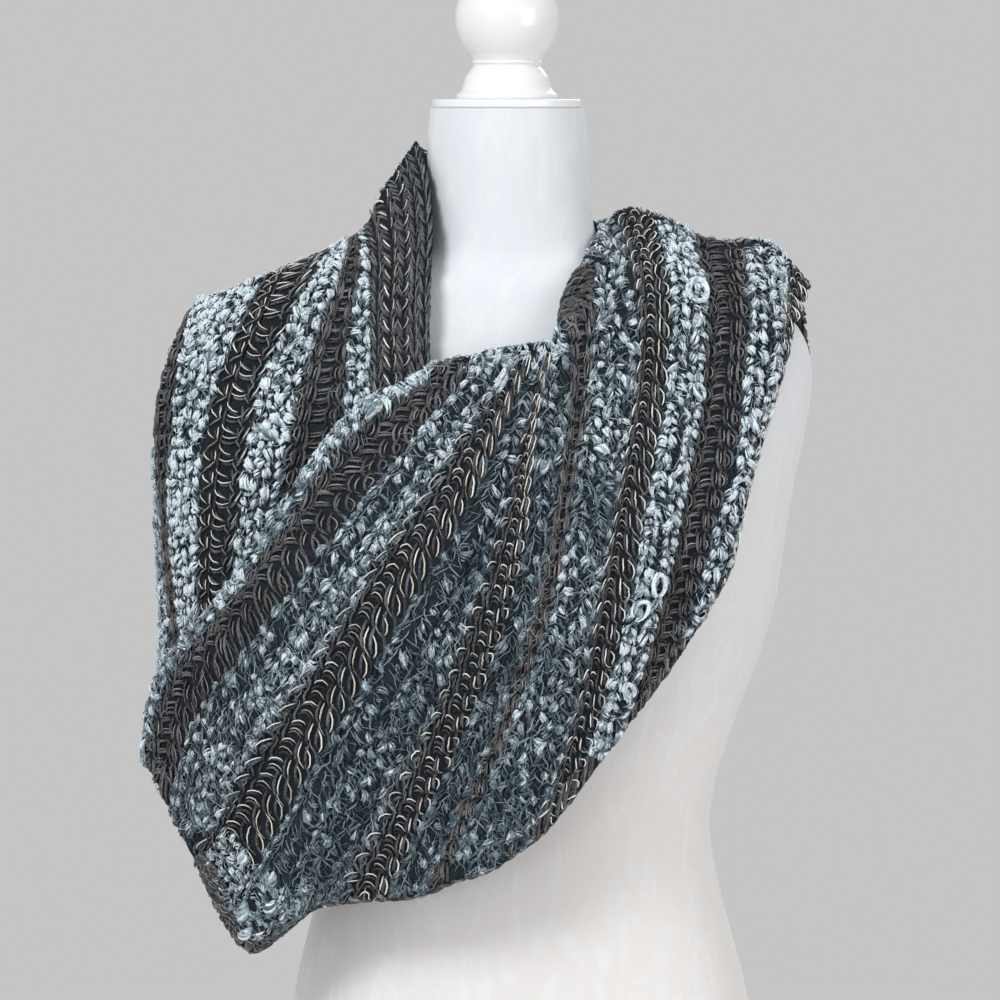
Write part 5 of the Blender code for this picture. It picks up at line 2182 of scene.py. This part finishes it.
@dataclass
class Studio:
    """A pale floor, soft light and the camera."""

    eye: tuple[float, float, float] = (-0.0047, -4.0, 0.727)
    target: tuple[float, float, float] = (-0.0047, 0.0, 0.4633)
    frame_width: float = 0.6667
    sensor: float = 36.0
    pale: Colour = (0.558, 0.558, 0.558)
    floor_radius: float = 3.0
    floor_colour: Colour = (0.72, 0.72, 0.72)
    fade: tuple[float, float] = (0.35, 1.0)

    def place(self, name: str, data: bpy.types.ID, spot: Sequence[float],
              target: Sequence[float] | None = None) -> Object:
        """Put something in the studio.

        Args:
            name: Its name.
            data: What it is.
            spot: Where it stands, in metres.
            target: What it faces.

        Returns:
            Its object.
        """
        made = bpy.data.objects.new(name, data)
        made.location = spot
        if target is not None:
            way = Vector(target) - Vector(spot)
            made.rotation_euler = way.to_track_quat("-Z", "Y").to_euler()
        bpy.context.scene.collection.objects.link(made)
        return made

    def place_camera(self) -> None:
        """Sight the part from the eye, with the frame's width at the neck axis."""
        data = bpy.data.cameras.new("camera")
        data.sensor_width = self.sensor
        reach = (Vector(self.target) - Vector(self.eye)).length
        data.lens = self.sensor * reach / self.frame_width
        data.clip_end = 200.0
        bpy.context.scene.camera = self.place("camera", data, self.eye, self.target)

    def lay_floor(self) -> None:
        """Lay a pale floor just below the form's foot, which fades into the surroundings."""
        mesh = bmesh.new()
        bmesh.ops.create_circle(mesh, cap_ends=True, segments=64, radius=self.floor_radius)
        data = bpy.data.meshes.new("studio_floor")
        mesh.to_mesh(data)
        mesh.free()
        data.materials.append(self.floor_material())
        self.place("studio_floor", data, (0, 0, -0.0005))

    def floor_material(self) -> Material:
        """Build the floor's finish, which turns into the plain surroundings far off.

        Returns:
            The material.
        """
        sketch = MaterialSketch("studio_floor")
        sketch.finish(opaque(self.floor_colour), 1.0, Specular_IOR_Level=0.0)
        place = sketch.add("TexCoord", out="Object")
        reach = sketch.add("VectorMath", {0: place}, "Value", operation="LENGTH")
        faded = sketch.add("MapRange", {"Value": reach, "From Min": self.fade[0],
                                        "From Max": self.fade[1]},
                           interpolation_type="SMOOTHSTEP")
        glow = sketch.add("Emission", {"Color": opaque(self.pale)})
        blend = sketch.add("MixShader", {0: faded, 1: sketch.shader.outputs[0], 2: glow})
        sketch.wire(sketch.tree.nodes["Material Output"], {"Surface": blend})
        return sketch.material

    def hang_light(self, name: str, spot: Sequence[float], size: float, power: float,
                   colour: Colour, aim: float = 0.5, spread: float = 180.0) -> None:
        """Hang one soft square light that faces the neck axis.

        Args:
            name: Its name.
            spot: Where it hangs, in metres.
            size: Its side.
            power: Its watts.
            colour: Its colour.
            aim: The height that it faces.
            spread: Degrees that it shines across.
        """
        data = bpy.data.lights.new(name, "AREA")
        data.spread = math.radians(spread)
        data.size = size
        data.energy = power
        data.color = colour
        self.place(name, data, spot, (0, 0, aim))

    def light(self) -> None:
        """Set the pale surroundings and hang the lights."""
        world = bpy.data.worlds.new("studio")
        bpy.context.scene.world = world
        world.use_nodes = True
        background = world.node_tree.nodes["Background"]
        NodeSketch(world.node_tree).wire(background, {0: opaque(self.pale), 1: 1.0})
        self.hang_light("key", (-1.5, -2.0, 2.4), 1.0, 58.0, (0.97, 0.985, 1.0))
        self.hang_light("fill", (2.2, -2.0, 0.9), 1.8, 28.5, (1.0, 0.99, 0.98))
        self.hang_light("rear", (0.6, 2.6, 2.2), 1.8, 24.0, (1.0, 1.0, 1.0))
        self.hang_light("low", (-0.75, -1.3, 0.10), 0.5, 0.17, (0.97, 0.985, 1.0), 0.0, 45.0)
        settings = bpy.context.scene.view_settings
        settings.view_transform = "Standard"
        settings.look = "None"
        settings.exposure = 0.0
        settings.gamma = 1.0

    def build(self) -> None:
        """Set the whole studio up."""
        self.place_camera()
        self.lay_floor()
        self.light()


# --- the whole

def node_surface(node: str) -> BVHTree:
    """Read a CAD node's surface in millimetres, for the cloth to rest on.

    Args:
        node: The node's name.

    Returns:
        Its search tree.
    """
    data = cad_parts[node].data
    corners = [vertex.co / MM for vertex in data.vertices]
    return BVHTree.FromPolygons(corners, [tuple(face.vertices) for face in data.polygons])


def build_scarf() -> list[Object]:
    """Drape the three stretches and work their yarns.

    Returns:
        All the scarf's pieces.
    """
    draping = Draping(node_surface("form_torso"))
    front = draping.front()
    left = draping.left(front)
    back = draping.back(left, front)
    front.curl_rim()
    front = ClothSurface(front, FRONT_CREASES, RIM_COLUMNS)
    finishes = {"slub": SLUB, "navy": NAVY, "charcoal": CHARCOAL, "ivory": IVORY,
                "brown": BROWN, "ground": GroundFinish(), "reverse": REVERSE_SIDE}
    materials = {name: finish.material() for name, finish in finishes.items()}
    stretches = (
        Stretch("scarf_front", front, FRONT_STRIPES, materials,
                seed=11, flat=(0.40, 0.45), upright=0.85, hem=1.2, nubs=FRONT_NUBS,
                reverses=FRONT_REVERSES, fluffs=FRONT_FLUFFS),
        Stretch("scarf_left", ClothSurface(left, LEFT_CREASES),
                LEFT_STRIPES, materials, seed=23, flat=(0.30, 0.42), turned=True,
                cover=front.search_tree(), nubs=LEFT_NUBS),
        Stretch("scarf_back", ClothSurface(back, BACK_CREASES),
                BACK_STRIPES, materials, seed=37, flat=(0.27, 0.36), reverses=BACK_REVERSES),
    )
    pieces = []
    for stretch in stretches:
        made = stretch.build()
        log.info("%s: %d pieces", stretch.name, len(made))
        pieces += made
    return pieces


def report_triangles(pieces: Sequence[Object]) -> None:
    """Log how many triangles the pieces have.

    Args:
        pieces: The pieces.
    """
    graph = bpy.context.evaluated_depsgraph_get()
    total = 0
    for piece in pieces:
        data = piece.evaluated_get(graph).to_mesh()
        data.calc_loop_triangles()
        total += len(data.loop_triangles)
        log.info("%s: %d triangles", piece.name, len(data.loop_triangles))
    log.info("all pieces: %d triangles", total)


def main() -> None:
    """Build the form, the scarf and the studio, and report each piece."""
    logging.basicConfig(level=logging.INFO, format="%(name)s: %(message)s")
    Studio().build()
    form = DressForm({"velvet": VelvetFinish().material(),
                      "white_lacquer": LacquerFinish().material()})
    pieces = [form.build_cover(), form.build_plate(), form.build_finial()] + build_scarf()
    report_triangles(pieces)


if __name__ == "__main__":
    main()
